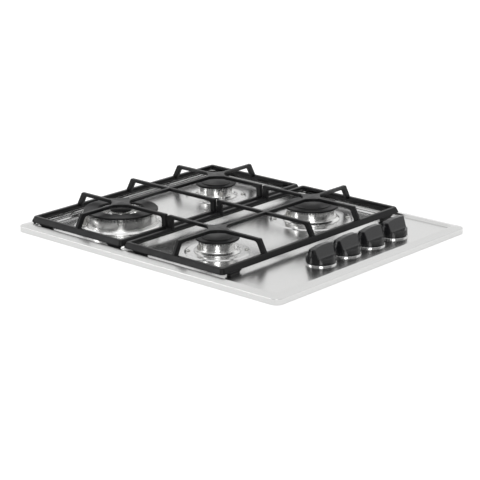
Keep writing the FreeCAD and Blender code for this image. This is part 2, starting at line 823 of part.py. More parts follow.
def burner_base(burner):
    """Cast cup and jet holder, held under the top and standing up through it."""
    rim_inside = burner.cup_inside
    body = turned(f"base_{burner.name}_turned", [
        (0, d.holder_low),
        (d.holder_radius, d.holder_low),
        (d.holder_radius, CUP_LOW),
        (rim_inside + d.wall, CUP_LOW),
        (rim_inside + d.wall, BOSS_UNDER - d.wall),
        (Rule.of(burner.boss) - 4, BOSS_UNDER - d.wall),
        (Rule.of(burner.boss) - 4, BOSS_UNDER),
        (burner.cup_outside, BOSS_UNDER),
        (burner.cup_outside, SEAT - 1),
        (burner.cup_outside - 1, SEAT),
        (rim_inside, SEAT),
        (rim_inside, CUP_LOW + d.cup_floor),
        (0, CUP_LOW + d.cup_floor),
    ], (burner.x, burner.y, 0))
    spark = burner.spark_place()
    lug_low = BOSS_UNDER - d.wall
    lug = rod(f"base_{burner.name}_lug", d.lug_radius, SEAT - lug_low, (*spark, lug_low))
    middle = (burner.x, burner.y, d.gas_level)
    inlet = rod(f"base_{burner.name}_inlet", d.inlet_boss, TUBE_BOSS, middle, (1, 0, 0))
    solid = fuse(f"base_{burner.name}_cast", [body, lug, inlet])
    start = BOSS_UNDER - 6
    holes = [
        rod(f"base_{burner.name}_jet_hole", d.jet_radius, 30, middle),
        rod(f"base_{burner.name}_gas_way", 2, TUBE_BOSS + 1, middle, (1, 0, 0)),
        rod(f"base_{burner.name}_spark_hole", d.insulator_radius, 20, (*spark, start)),
    ]
    for side, spot in enumerate(burner.screw_places()):
        holes.append(rod(f"base_{burner.name}_screw_hole_{side}", d.screw_radius, 12, (*spot, start)))
    name = f"burner_base_{burner.name}"
    node(name, cut(name, solid, holes))


def injector(burner):
    """Brass jet screwed up through the cup's floor."""
    low = d.gas_level + 4
    floor = CUP_LOW + d.cup_floor
    jet = 0.6
    return turned(f"injector_{burner.name}", [
        (jet, low), (d.jet_radius, low), (d.jet_radius, floor), (d.jet_collar, floor),
        (d.jet_collar, floor + 2.5), (d.jet_radius - 1, floor + 3.5), (jet, floor + 3.5),
    ], (burner.x, burner.y, 0))


def crown(burner):
    """Cast flame ring: throat, floor, ported wall and the spigot that locates it."""
    spigot = burner.cup_inside - d.fit_gap
    wall = Rule.of(burner.crown)
    throat_out = d.throat + d.throat_wall
    low = SEAT - d.spigot_deep
    ceiling = SEAT + d.wall
    points = [
        (d.throat, low - 4), (throat_out, low - 4), (throat_out, ceiling),
        (spigot - d.wall, ceiling), (spigot - d.wall, low), (spigot, low), (spigot, SEAT),
        (wall, SEAT), (wall, burner.top), (wall - d.wall, burner.top),
    ]
    floor = ceiling + d.wall
    points.append((wall - d.wall, floor))
    if burner is TRIPLE:
        points += [
            (d.inner_wall + d.wall, floor), (d.inner_wall + d.wall, burner.top),
            (d.inner_wall, burner.top), (d.inner_wall, floor + 1), (d.inner_crown, floor + 1),
            (d.inner_crown, ceiling + 8), (d.inner_neck, INNER_TOP - 3), (d.inner_neck, INNER_TOP),
            (d.inner_neck - 2.5, INNER_TOP), (d.inner_neck - 2.5, floor),
        ]
    points.append((d.throat, floor))
    body = turned(f"crown_{burner.name}_turned", points)
    slots = (burner.top - d.port_tall, burner.top + 1)
    ring_of_slots(body, wall - d.wall - 1, wall + 1, *slots, d.port_wide, burner.ports)
    if burner is TRIPLE:
        low_slot, high_slot = INNER_TOP - 2, INNER_TOP + 1
        ring_of_slots(body, d.inner_neck - 3.5, d.inner_neck + 1, low_slot, high_slot, d.port_wide, 24)
    place(body, burner.x, burner.y, 0)
    spark = burner.spark_place()
    cuts = [rod(f"crown_{burner.name}_notch", d.notch_radius, 40, (*spark, low))]
    if burner is TRIPLE:
        cuts.append(side_port(burner))
    name = f"burner_crown_{burner.name}"
    node(name, cut(name, body, cuts))


def side_port(burner):
    """Round port through the wide crown's wall, towards the front right."""
    degrees = 311.5
    level = SEAT + 13.5
    spot = burner.round(Rule.of(burner.crown) - 8, degrees)
    port = rod("crown_front_left_port", 3, 16, (*spot, level))
    aim = FreeCAD.Vector(math.cos(math.radians(degrees)), math.sin(math.radians(degrees)), 0)
    port.Placement = FreeCAD.Placement(FreeCAD.Vector(), FreeCAD.Rotation(FreeCAD.Vector(0, 0, 1), aim))
    return place(port, *spot, level)


def cap(burner):
    """Enamelled lid that rests on the crown and is located by a ring under it."""
    edge = Rule.of(burner.cap)
    inside = Rule.of(burner.crown) - d.wall - d.fit_gap
    low = burner.top
    top = low + d.cap_thick
    rim = [(edge - 1, low), (edge, low + 1), (edge, top - 1.2), (edge - 1.2, top - 0.3), (edge - 3, top)]
    if burner is TRIPLE:
        hole = d.inner_wall + d.wall + d.fit_gap
        points = [
            (d.inner_wall - 0.5, low), (hole, low), (hole, low - 2), (hole + 2.5, low - 2),
            (hole + 2.5, low), (inside - 2.5, low), (inside - 2.5, low - 2), (inside, low - 2), (inside, low),
        ] + rim + [(d.inner_wall + 2, top), (d.inner_wall, top - 0.6), (d.inner_wall - 0.5, top - 1.4)]
    else:
        disc = edge * 0.7
        points = [
            (0, low), (inside - 3, low), (inside - 3, low - 2.5), (inside, low - 2.5), (inside, low),
        ] + rim + [
            (disc + 1.5, top - 0.3), (disc, top + d.cap_rise - 0.3), (disc - 1, top + d.cap_rise),
            (0, top + d.cap_rise),
        ]
    name = f"burner_cap_{burner.name}"
    node(name, turned(name, points, (burner.x, burner.y, 0)))


def inner_cap(burner):
    """Small lid over the wide burner's middle flame."""
    room = d.inner_neck - 2.5 - d.fit_gap
    edge = d.inner_cap
    points = [
        (0, INNER_TOP), (room - 2, INNER_TOP), (room - 2, INNER_TOP - 2), (room, INNER_TOP - 2),
        (room, INNER_TOP), (edge - 0.8, INNER_TOP), (edge, INNER_TOP + 0.8), (edge, INNER_TOP + 2.2),
        (edge - 1, INNER_TOP + 3), (0, INNER_TOP + 3.3),
    ]
    node("inner_cap_front_left", turned("inner_cap_front_left", points, (burner.x, burner.y, 0)))


def ignition_points():
    """Ceramic bodies and the steel rods inside them, one by each burner."""
    bodies, rods = [], []
    bore = 1.05
    under = BOSS_UNDER - d.wall
    collar = d.insulator_radius + d.insulator_collar
    for burner in BURNERS:
        spot = burner.spark_place()
        tip = burner.top - d.electrode_top
        bodies.append(turned(f"insulator_{burner.name}", [
            (bore, BOSS_UNDER - 14), (d.insulator_tail, BOSS_UNDER - 14), (d.insulator_tail, under - 1),
            (collar, under - 1), (collar, under), (d.insulator_radius, under),
            (d.insulator_radius, tip - 6), (2.0, tip - 4), (bore, tip - 4),
        ], (*spot, 0)))
        rods.append(rod(f"spark_rod_{burner.name}", 1, tip - d.lead_top, (*spot, d.lead_top)))
    node("electrode_insulators", group("electrode_insulators", bodies))
    node("electrode_rods", group("electrode_rods", rods))


def burner_screws():
    """Pan-head screws through the top into each burner's base."""
    screws = []
    for burner in BURNERS:
        for side, spot in enumerate(burner.screw_places()):
            screws.append(turned(f"burner_screw_{burner.name}_{side}", [
                (0, BOSS_UNDER - 7), (d.screw_radius, BOSS_UNDER - 7), (d.screw_radius, BOSS_TOP),
                (d.screw_head, BOSS_TOP), (d.screw_head, BOSS_TOP + 0.8), (d.screw_head - 1, BOSS_TOP + 1.9),
                (1.2, BOSS_TOP + 2.3), (0, BOSS_TOP + 1.2),
            ], (*spot, 0)))
    node("burner_screws", group("burner_screws", screws))


def burners():
    """Every burner, from its base under the top to its cap."""
    node("gas_injectors", group("gas_injectors", [injector(burner) for burner in BURNERS]))
    for burner in BURNERS:
        burner_base(burner)
        crown(burner)
        cap(burner)
    inner_cap(TRIPLE)
    ignition_points()
    burner_screws()


# ---------------------------------------------------------------------------
# Gas rail, taps and knobs
# ---------------------------------------------------------------------------
def gas_rail():
    """Square steel rail under the taps, its supports, its plug and the threaded inlet."""
    half = d.rail_wide / 2
    around = ((d.knob_x - half, d.knob_x + half), (d.rail_level - half, d.rail_level + half))
    room = half - d.rail_wall
    within = ((d.knob_x - room, d.knob_x + room), (d.rail_level - room, d.rail_level + room))
    tube_outside = block("rail_outside", around[0], (d.rail_front, d.rail_back), around[1])
    hollow = block("rail_inside", within[0], (d.rail_front - 1, d.rail_back + 1), within[1])
    ways = [
        rod(f"rail_way_{number}", 3, 6, (d.knob_x, y, d.rail_level + half - 3)) for number, y in TAPS
    ]
    node("gas_rail", cut("gas_rail", tube_outside, [hollow] + ways))
    plug = [
        block("rail_plug_body", within[0], (d.rail_front, d.rail_front + 10), within[1]),
        block("rail_plug_head", around[0], (d.rail_front - 3, d.rail_front), around[1]),
    ]
    node("rail_plug", fuse("rail_plug", plug))
    across = (d.knob_x - 14, d.knob_x + 14)
    supports = [
        block(f"rail_support_{side}", across, (y - 6, y + 6), (d.sheet, d.rail_level - half))
        for side, y in (("front", Rule.of(-30.0)), ("back", Rule.of(165.0)))
    ]
    node("rail_supports", group("rail_supports", supports))
    inside = TRAY_Y - d.sheet
    axis = (0, 1, 0)
    fitting = [
        rod("inlet_thread", d.inlet_radius, d.inlet_length, (d.knob_x, TRAY_Y + 1, d.rail_level), axis),
        rod("inlet_neck", d.inlet_neck, 8, (d.knob_x, TRAY_Y - 6, d.rail_level), axis),
        rod("inlet_collar", d.inlet_collar, 5, (d.knob_x, inside - 5, d.rail_level), axis),
        block("inlet_block", around[0], (d.rail_back, inside - 1), around[1]),
        block("inlet_spigot", within[0], (d.rail_back - 10, d.rail_back + 1), within[1]),
    ]
    way = rod("inlet_way", d.inlet_way, 60, (d.knob_x, d.rail_back - 12, d.rail_level), axis)
    node("inlet_fitting", cut("inlet_fitting", fuse("inlet_solid", fitting), [way]))


def tap(number, y):
    """Brass tap body on the rail, bored for its spindle, with a side outlet."""
    half = d.tap_wide / 2
    neck_low = d.tap_shoulder - 1
    solids = [
        block(f"tap_{number}_block", (d.knob_x - half, d.knob_x + half), (y - half, y + half),
              (d.tap_low, d.tap_shoulder)),
        rod(f"tap_{number}_neck", d.tap_neck, d.tap_top - neck_low, (d.knob_x, y, neck_low)),
        rod(f"tap_{number}_outlet", 6.5, half + 9, (d.knob_x, y, d.gas_level), (-1, 0, 0)),
    ]
    bore = [
        rod(f"tap_{number}_bore", d.shaft_radius + d.running_gap, 40, (d.knob_x, y, d.tap_low + 4)),
        rod(f"tap_{number}_way", 2.5, half + 10, (d.knob_x - 3, y, d.gas_level), (-1, 0, 0)),
        rod(f"tap_{number}_inlet", 2.5, 5, (d.knob_x, y, d.tap_low - 1)),
    ]
    node(f"tap_{number}", cut(f"tap_{number}", fuse(f"tap_{number}_solid", solids), bore))


SHAFT_SHORT = 8.0


def push_parts(number, y):
    """Spindle, the collar it pushes, and the spring under the collar."""
    collar_high = PANEL_UNDER - d.collar_gap
    collar_low = collar_high - d.collar_thick
    end = PANEL_TOP + d.knob_top - SHAFT_SHORT
    shaft = d.shaft_radius
    node(f"spindle_{number}", turned(f"spindle_{number}", [
        (0, d.tap_low + 7), (shaft, d.tap_low + 7), (shaft, collar_high), (shaft + 1, collar_high),
        (shaft + 1, collar_high + 0.6), (shaft, collar_high + 0.6), (shaft, end - 1),
        (shaft - 0.6, end), (0, end),
    ], (d.knob_x, y, 0)))
    ring = turned(f"collar_{number}_ring", [
        (d.shaft_radius + d.running_gap, collar_low), (d.collar_radius, collar_low),
        (d.collar_radius, collar_high), (d.shaft_radius + d.running_gap, collar_high),
    ], (d.knob_x, y, 0))
    reach = (d.knob_x + 6, d.knob_x + 19)
    ear = block(f"collar_{number}_ear", reach, (y - 3, y + 3), (collar_low, collar_high))
    node(f"push_collar_{number}", fuse(f"push_collar_{number}", [ring, ear]))
    node(f"return_spring_{number}", turned(f"return_spring_{number}", [
        (d.shaft_radius + 0.6, d.tap_top), (d.shaft_radius + 2, d.tap_top),
        (d.shaft_radius + 2, collar_low), (d.shaft_radius + 0.6, collar_low),
    ], (d.knob_x, y, 0)))


def knob(number, y):
    """Round tapered knob, scooped on both sides so that a grip stands across its whole width."""
    low = PANEL_TOP + d.knob_gap
    shoulder = low + d.knob_base
    top = PANEL_TOP + d.knob_top
    edge = d.knob_radius + 2
    crest = d.knob_crest
    at = (d.knob_x, y, 0)
    whole = turned(f"knob_{number}_round", [
        (0, low + 4), (d.knob_radius - 2.5, low + 4), (d.knob_radius - 2.5, low), (d.knob_radius, low),
        (d.knob_waist, shoulder), (crest, top + 1), (0, top + 1),
    ], at)
    half = [
        (edge, low - 1), (edge, shoulder), (d.scoop_foot, shoulder), (d.grip_foot + 1.1, shoulder + 1),
        (d.grip_foot, shoulder + 4.5), (d.grip_top + 0.7, top - 1.2), (d.grip_top - 0.8, top + 1),
    ]
    mirrored = [(-x, level) for x, level in reversed(half)]
    across = prism(f"knob_{number}_across", "XZ_Plane", half + mirrored, edge * 2, at)
    along = prism(f"knob_{number}_along", "YZ_Plane", [
        (-edge, low - 1), (edge, low - 1), (edge, top - 3), (crest - 1, top - 1), (17, top - 0.2),
        (0, top), (-12, top - 1.2), (-19, top - 2.2), (1 - crest, top - 3.6), (-edge, top - 7),
    ], edge * 2, at)
    grip = doc.addObject("Part::MultiCommon", f"knob_{number}_grip")
    grip.Shapes = [whole, across, along]
    stem = rod(f"knob_{number}_stem", d.stem_radius, shoulder - low, (d.knob_x, y, low))
    bore_long = top - SHAFT_SHORT - low + 1
    bore = rod(f"knob_{number}_bore", d.shaft_radius, bore_long, (d.knob_x, y, low - 1))
    node(f"knob_{number}", cut(f"knob_{number}", fuse(f"knob_{number}_solid", [grip, stem]), [bore]))


def bezels_and_switches():
    """Bright rings about the knobs, and the switches that their collars press."""
    rings, switches = [], []
    for number, y in TAPS:
        rings.append(turned(f"bezel_{number}", [
            (d.bezel_inner, PANEL_TOP), (d.bezel_outer, PANEL_TOP), (d.bezel_outer, PANEL_TOP + 1),
            (d.bezel_outer - 0.4, PANEL_TOP + d.bezel_tall), (d.bezel_inner, PANEL_TOP + d.bezel_tall),
        ], (d.knob_x, y, 0)))
        case = block(f"switch_{number}_case", (d.knob_x + 10, d.knob_x + 22), (y - 8, y + 8),
                     (d.tap_shoulder, d.tap_shoulder + 8))
        plunger = rod(f"switch_{number}_plunger", 1.5, 3, (d.knob_x + 15.5, y, d.tap_shoulder + 7.5))
        switches.append(fuse(f"switch_{number}", [case, plunger]))
    node("knob_bezels", group("knob_bezels", rings))
    node("ignition_switches", group("ignition_switches", switches))


def gas_tubes():
    """Aluminium tubes from each tap to its burner."""
    level = d.gas_level
    start = d.knob_x - d.tap_wide / 2 - 9
    routes = {
        1: (BURNERS[2], [(135, None), (105, "burner")]),
        2: (BURNERS[0], [(-75, None), (-118, "burner")]),
        3: (BURNERS[1], [(-75, None), (-118, "burner")]),
        4: (BURNERS[3], [(150, None), (120, "burner")]),
    }
    tubes = []
    for number, y in TAPS:
        burner, corners = routes[number]
        points = [(start, y, level)]
        points += [(x, burner.y if row else y, level) for x, row in corners]
        points.append((burner.x + TUBE_BOSS, burner.y, level))
        radii = [float(d.pipe_bend)] * len(corners)
        tubes.append(tube(f"gas_tube_{number}", points, d.pipe_radius, radii))
    node("gas_tubes", group("gas_tubes", tubes))


# ---------------------------------------------------------------------------
# Ignition wiring
# ---------------------------------------------------------------------------
SPARK_BOX = ((-92.0, -20.0), (168.0, 208.0), (0.8, 30.0))
TERMINALS = ((125.0, 155.0), (190.0, 212.0))


def ignition_unit():
    """Spark generator, terminal block and the gland in the back wall."""
    node("spark_generator", block("spark_generator", *SPARK_BOX))
    node("terminal_block", block("terminal_block", *TERMINALS, (d.sheet, 16)))
    shell = turned("cord_gland_shell", [
        (GLAND_BORE, -8), (9, -8), (9, -0.8), (7, -0.8), (7, 0),
        (9.5, 0), (9.5, 4), (7.5, 9), (GLAND_BORE, 9),
    ])
    turn = FreeCAD.Rotation(FreeCAD.Vector(0, 0, 1), FreeCAD.Vector(0, 1, 0))
    shell.Placement = FreeCAD.Placement(FreeCAD.Vector(), turn)
    place(shell, GLAND_X, TRAY_Y, GLAND_LEVEL)
    node("cord_gland", shell)


def soft_lead(name, points):
    """Silicone lead with bends as wide as its runs allow."""
    return tube(name, points, d.lead_radius, limp_radii(points))


def wiring():
    """Leads from the generator to each electrode, and the feed and switch leads."""
    low = d.lead_level
    front = SPARK_BOX[1][0]
    out = 10.0
    ways = {
        "rear_left": [(-84, front, out), (-84, 152, out), (-94, 134, 6), (-112, 118, low)],
        "front_left": [(-68, front, out), (-68, 146, out), (-72, 106, 5), (-80, 58, low), (-86, 0, low),
                       (-96, -56, low), (-118, -108, low), (-152, -150, low)],
        "front_right": [(-52, front, out), (-52, 146, out), (-46, 106, 5), (-40, 58, low), (-36, 0, low),
                        (-26, -56, low), (-10, -106, low), (10, -136, low)],
        "rear_right": [(-36, front, out), (-36, 150, out), (-28, 130, 6), (-10, 108, low)],
    }
    leads = []
    for burner in BURNERS:
        x, y = burner.spark_place()
        points = ways[burner.name] + [(x, y, low), (x, y, d.lead_top)]
        leads.append(soft_lead(f"spark_lead_{burner.name}", points))
    node("spark_leads", group("spark_leads", leads))
    side = SPARK_BOX[0][1]
    feed = [(side, 190, 16), (-2, 190, 16), (22, 188, 12), (54, 183, 7), (86, 186, 7), (108, 200, 8),
            (TERMINALS[0][0], 200, 8)]
    switch = [(side, 176, 22), (-2, 176, 22), (34, 173, 14), (78, 167, 8), (122, 164, 12), (164, 168, 27),
              (200, 172, 40), (226, 167, 47), (242, 155, 47), (242, float(TAPS[3][1]) + 8, 47)]
    node("feed_leads", group("feed_leads", [soft_lead("feed_lead", feed), soft_lead("switch_lead", switch)]))


# ---------------------------------------------------------------------------
# Assembly
# ---------------------------------------------------------------------------
def check_objects():
    """Stop on any object that failed, before anything is written."""
    doc.recompute()
    for item in doc.Objects:
        if "Invalid" in item.State or "Error" in item.State:
            raise RuntimeError(f"{item.Name}: {item.State}")
    for name, item in NODES.items():
        if item.Shape.isNull() or not item.Shape.isValid() or not item.Shape.Solids:
            raise RuntimeError(f"{name}: no valid solid")


steel_top()
worktop_seal()
under_tray()
tray_fixings()
grates()
burners()
gas_rail()
for tap_number, tap_y in TAPS:
    tap(tap_number, tap_y)
    push_parts(tap_number, tap_y)
    knob(tap_number, tap_y)
bezels_and_switches()
gas_tubes()
ignition_unit()
wiring()
check_objects()
os.makedirs("parts", exist_ok=True)
for name, item in NODES.items():
    item.Shape.exportStep(f"parts/{name}.step")
    print(f"{name}: {len(item.Shape.Solids)} solid, {item.Shape.Volume / 1000:.1f} cm3")
print(f"{len(NODES)} nodes")
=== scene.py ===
"""Dressed model of a built-in gas cooktop: brushed steel top, cast grates, burners and knobs.

Every size is in millimetres in the object's own frame (+Z up, X along the front edge) and is
turned into metres when a mesh is made.  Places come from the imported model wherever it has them.
"""

import json
import logging
import math
from collections.abc import Sequence
from dataclasses import dataclass, field
from enum import Enum

import bmesh
import bpy
from mathutils import Euler, Matrix, Vector

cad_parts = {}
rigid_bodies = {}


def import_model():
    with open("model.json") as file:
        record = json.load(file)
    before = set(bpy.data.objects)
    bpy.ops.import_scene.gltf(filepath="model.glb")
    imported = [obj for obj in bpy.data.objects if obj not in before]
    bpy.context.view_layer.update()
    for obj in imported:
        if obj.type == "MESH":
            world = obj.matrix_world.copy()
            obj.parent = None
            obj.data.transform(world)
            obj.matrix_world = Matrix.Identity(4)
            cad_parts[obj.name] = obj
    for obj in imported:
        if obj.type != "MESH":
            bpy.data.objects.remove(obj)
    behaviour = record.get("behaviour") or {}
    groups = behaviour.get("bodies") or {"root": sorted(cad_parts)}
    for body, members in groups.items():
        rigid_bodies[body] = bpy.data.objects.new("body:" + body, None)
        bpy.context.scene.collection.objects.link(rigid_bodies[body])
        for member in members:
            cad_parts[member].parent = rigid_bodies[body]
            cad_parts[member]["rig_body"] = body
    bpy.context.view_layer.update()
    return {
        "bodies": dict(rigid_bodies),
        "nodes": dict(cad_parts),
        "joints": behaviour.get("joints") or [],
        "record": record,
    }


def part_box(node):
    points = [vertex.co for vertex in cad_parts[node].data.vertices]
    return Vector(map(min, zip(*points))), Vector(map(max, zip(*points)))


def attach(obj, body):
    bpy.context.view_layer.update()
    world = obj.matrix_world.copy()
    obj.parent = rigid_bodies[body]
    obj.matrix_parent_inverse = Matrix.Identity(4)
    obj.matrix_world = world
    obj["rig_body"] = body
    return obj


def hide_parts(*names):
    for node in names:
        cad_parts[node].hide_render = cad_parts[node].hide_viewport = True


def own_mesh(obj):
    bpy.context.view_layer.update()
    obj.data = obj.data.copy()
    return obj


LOG = logging.getLogger("cooktop")

MM = 0.001
TINY = 1e-6
SAME_POINT = 1e-4
ARC_SHARE = 0.48
SHARPEST = 0.35
ROUND = 96
SMOOTH, SMOOTHER, SMOOTHEST = 32.0, 40.0, 50.0
FIT = 0.3

WORKTOP = 52.0
SHEET_UNDER = WORKTOP + 7.5
PLATEAU = WORKTOP + 8.3
PANEL = WORKTOP + 9.5

Flat = tuple[float, float]
Corner = tuple[float, float, float]
Limits = tuple[float, float, float, float]
Piece = bpy.types.Object
Socket = bpy.types.NodeSocket


# --- Outlines --------------------------------------------------------------
def round_corners(corners: Sequence[Corner], closed: bool = True, steps: int = 4) -> list[Flat]:
    """Turn a run of corners into an outline with an arc at each.

    Args:
        corners: Points as (u, v, radius); a radius of 0 keeps a corner sharp.
        closed: Whether the last corner joins the first.
        steps: Segments in each arc.

    Returns:
        The outline's points in order.
    """
    count = len(corners)
    points: list[Flat] = []
    for index, (u, v, radius) in enumerate(corners):
        at_end = not closed and index in (0, count - 1)
        if radius <= 0 or at_end:
            points.append((u, v))
            continue
        here = Vector((u, v))
        back = Vector(corners[index - 1][:2]) - here
        ahead = Vector(corners[(index + 1) % count][:2]) - here
        room = min(back.length, ahead.length) * ARC_SHARE
        back.normalize()
        ahead.normalize()
        half = math.acos(max(-1.0, min(1.0, back.dot(ahead)))) / 2
        reach = min(radius / math.tan(half), room)
        fair = reach * math.tan(half)
        middle = here + (back + ahead).normalized() * (fair / math.sin(half))
        start = here + back * reach - middle
        sweep = start.angle_signed(here + ahead * reach - middle)
        for step in range(steps + 1):
            turn = -sweep * step / steps
            points.append((
                middle.x + start.x * math.cos(turn) - start.y * math.sin(turn),
                middle.y + start.x * math.sin(turn) + start.y * math.cos(turn),
            ))
    return points


def drawn_in(outline: Sequence[Flat], distance: float) -> list[Flat]:
    """Offset a closed outline towards its inside.

    Args:
        outline: Points in order.
        distance: How far in.

    Returns:
        As many points, each moved along its corner's bisector.
    """
    pairs = zip(outline, list(outline[1:]) + [outline[0]])
    side = 1.0 if sum(a[0] * b[1] - b[0] * a[1] for a, b in pairs) > 0 else -1.0
    moved: list[Flat] = []
    for index, (u, v) in enumerate(outline):
        before = Vector((u, v)) - Vector(outline[index - 1])
        after = Vector(outline[(index + 1) % len(outline)]) - Vector((u, v))
        if before.length < TINY:
            before = after.copy()
        if after.length < TINY:
            after = before.copy()
        first, second = (Vector((-way.y, way.x)).normalized() * side for way in (before, after))
        middle = (first + second).normalized()
        scale = distance / max(SHARPEST, middle.dot(first))
        moved.append((u + middle.x * scale, v + middle.y * scale))
    return moved


def rounded_box(limits: Limits, inset: float, radius: float, steps: int = 8) -> list[Flat]:
    """Outline of a rectangle with round corners.

    Args:
        limits: Left, right, front and back.
        inset: How far the outline is drawn in from them.
        radius: Corner radius.
        steps: Segments in each corner.

    Returns:
        The outline's points, the same number whatever the inset.
    """
    left, right, front, back = limits
    left, right, front, back = left + inset, right - inset, front + inset, back - inset
    points: list[Flat] = []
    for quarter, (u, v) in enumerate(((right, front), (right, back), (left, back), (left, front))):
        x = u - math.copysign(radius, u - left - TINY)
        y = v - math.copysign(radius, v - front - TINY)
        for step in range(steps + 1):
            angle = (quarter - 1 + step / steps) * math.pi / 2
            points.append((x + radius * math.cos(angle), y + radius * math.sin(angle)))
    return points


def circle(centre: Flat, radius: float, steps: int) -> list[Flat]:
    """Points of a circle, counter-clockwise from +X."""
    turns = (2 * math.pi * step / steps for step in range(steps))
    return [(centre[0] + radius * math.cos(a), centre[1] + radius * math.sin(a)) for a in turns]


# --- Meshes ----------------------------------------------------------------
class Shape:
    """A mesh in the making, in millimetres."""

    def __init__(self) -> None:
        """Start empty."""
        self.mesh = bmesh.new()

    def points(self, places: Sequence[Sequence[float]]) -> list[bmesh.types.BMVert]:
        """Add points and return them."""
        return [self.mesh.verts.new(place) for place in places]

    def ring(self, outline: Sequence[Flat], level: float) -> list[bmesh.types.BMVert]:
        """Add the points of a level outline and return them."""
        return self.points([(u, v, level) for u, v in outline])

    def strip(self, first: list, second: list) -> None:
        """Join two closed rings of equal or single points with faces."""
        if len(first) == 1 and len(second) == 1:
            return
        count = max(len(first), len(second))
        for index in range(count):
            after = (index + 1) % count
            if len(first) == 1:
                face = (first[0], second[after], second[index])
            elif len(second) == 1:
                face = (first[index], first[after], second[0])
            else:
                face = (first[index], first[after], second[after], second[index])
            self.mesh.faces.new(face)

    def stack(self, rings: Sequence[list], closed: bool = False) -> None:
        """Join a run of rings, and the last to the first where closed."""
        for first, second in zip(rings, rings[1:]):
            self.strip(first, second)
        if closed:
            self.strip(rings[-1], rings[0])

    def tube(self, rings: Sequence[list]) -> None:
        """Join a run of rings and close both its ends."""
        self.stack(rings)
        for end in (rings[0], rings[-1]):
            self.mesh.faces.new(end)

    def fill(self, loops: Sequence[list]) -> None:
        """Fill a flat region bounded by loops; loops inside it are holes."""
        edges = []
        for loop in loops:
            for index, vert in enumerate(loop):
                after = loop[(index + 1) % len(loop)]
                found = self.mesh.edges.get((vert, after))
                edges.append(found or self.mesh.edges.new((vert, after)))
        bmesh.ops.triangle_fill(self.mesh, use_beauty=True, use_dissolve=False, edges=edges)

    def finish(self, name: str, smooth: float = SMOOTH) -> Piece:
        """Turn the mesh into an object in metres.

        Args:
            name: The piece's name.
            smooth: Edges flatter than this, in degrees, are shaded smooth.

        Returns:
            The new object, linked to the scene.
        """
        bmesh.ops.remove_doubles(self.mesh, verts=self.mesh.verts, dist=SAME_POINT)
        bmesh.ops.recalc_face_normals(self.mesh, faces=self.mesh.faces)
        bmesh.ops.scale(self.mesh, vec=(MM, MM, MM), verts=self.mesh.verts)
        piece = placed(name, self.mesh)
        shade(piece, smooth)
        return piece


def placed(name: str, mesh: bmesh.types.BMesh) -> Piece:
    """Put a mesh into a new object of the scene."""
    data = bpy.data.meshes.new(name)
    mesh.to_mesh(data)
    mesh.free()
    piece = bpy.data.objects.new(name, data)
    bpy.context.scene.collection.objects.link(piece)
    return piece


def shade(piece: Piece, degrees: float) -> None:
    """Shade a piece smooth with sharp edges above an angle."""
    piece.data.shade_smooth()
    piece.data.set_sharp_from_angle(angle=math.radians(degrees))


def turned(profile: Sequence[Flat], centre: Flat, closed: bool = False, steps: int = ROUND) -> Shape:
    """Turn a profile about a vertical axis.

    Args:
        profile: Points as (radius, height).
        centre: Where the axis stands.
        closed: Whether the profile is a loop, as on a ring.
        steps: Segments round the axis.

    Returns:
        The turned shape.
    """
    shape = Shape()
    rings = []
    for radius, level in profile:
        outline = [centre] if radius < TINY else circle(centre, radius, steps)
        rings.append(shape.ring(outline, level))
    shape.stack(rings, closed)
    return shape


def lathe(
    name: str, corners: Sequence[Corner], centre: Flat, arc: int = 4, steps: int = ROUND,
    closed: bool = False, smooth: float = SMOOTH,
) -> Piece:
    """Turn a section with rounded corners into a piece.

    Args:
        name: The piece's name.
        corners: The section as (radius, height, rounding).
        centre: Where the axis stands.
        arc: Segments in each rounded corner.
        steps: Segments round the axis.
        closed: Whether the section is a loop, as on a ring.
        smooth: Edges flatter than this, in degrees, are shaded smooth.

    Returns:
        The piece.
    """
    return turned(round_corners(corners, closed, arc), centre, closed, steps).finish(name, smooth)


def post(place: Flat, radius: float, low: float, high: float, steps: int = 32) -> Piece:
    """A plain round solid used to join or cut."""
    profile = [(0.0, low), (radius, low), (radius, high), (0.0, high)]
    return turned(profile, place, steps=steps).finish("post")


class Plane(Enum):
    """Which way a slab's outline faces."""

    FLAT = "flat"
    ALONG_X = "along_x"
    ALONG_Y = "along_y"

    def place(self, u: float, v: float, w: float) -> Corner:
        """Turn outline coordinates and a depth into a point."""
        if self is Plane.FLAT:
            return (u, v, w)
        if self is Plane.ALONG_X:
            return (u, w, v)
        return (w, u, v)


def slab(
    name: str, outline: Sequence[Flat], thick: float, edge: float, plane: Plane,
    middle: float = 0.0, steps: int = 3,
) -> Piece:
    """Thicken an outline both ways and round its edges.

    Args:
        name: The piece's name.
        outline: Closed outline in the plane.
        thick: Whole thickness.
        edge: Radius of the edges.
        plane: Which way the outline faces.
        middle: Where the slab's middle lies across the plane.
        steps: Segments in each rounded edge.

    Returns:
        A closed solid.
    """
    levels: list[Flat] = []
    for step in range(steps + 1):
        angle = math.pi / 2 * step / steps
        levels.append((edge * (1 - math.sin(angle)), -thick / 2 + edge * (1 - math.cos(angle))))
    levels += [(inset, -depth) for inset, depth in reversed(levels)]
    shape = Shape()
    rings = []
    for inset, depth in levels:
        points = drawn_in(outline, inset) if inset > TINY else outline
        rings.append(shape.points([plane.place(u, v, middle + depth) for u, v in points]))
    shape.tube(rings)
    return shape.finish(name)


def block(
    name: str, place: Flat, size: Corner, middle: float, corner: float, edge: float,
    steps: tuple[int, int],
) -> Piece:
    """Level block with round corners and edges.

    Args:
        name: The piece's name.
        place: Its middle in plan.
        size: Its size along X, along Y and upwards.
        middle: The level of its middle.
        corner: Radius of its corners in plan.
        edge: Radius of its level edges.
        steps: Segments in each corner and in each edge.

    Returns:
        The block.
    """
    (x, y), (long, wide, thick) = place, size
    limits = (x - long / 2, x + long / 2, y - wide / 2, y + wide / 2)
    outline = rounded_box(limits, 0.0, corner, steps[0])
    return slab(name, outline, thick, edge, Plane.FLAT, middle, steps[1])


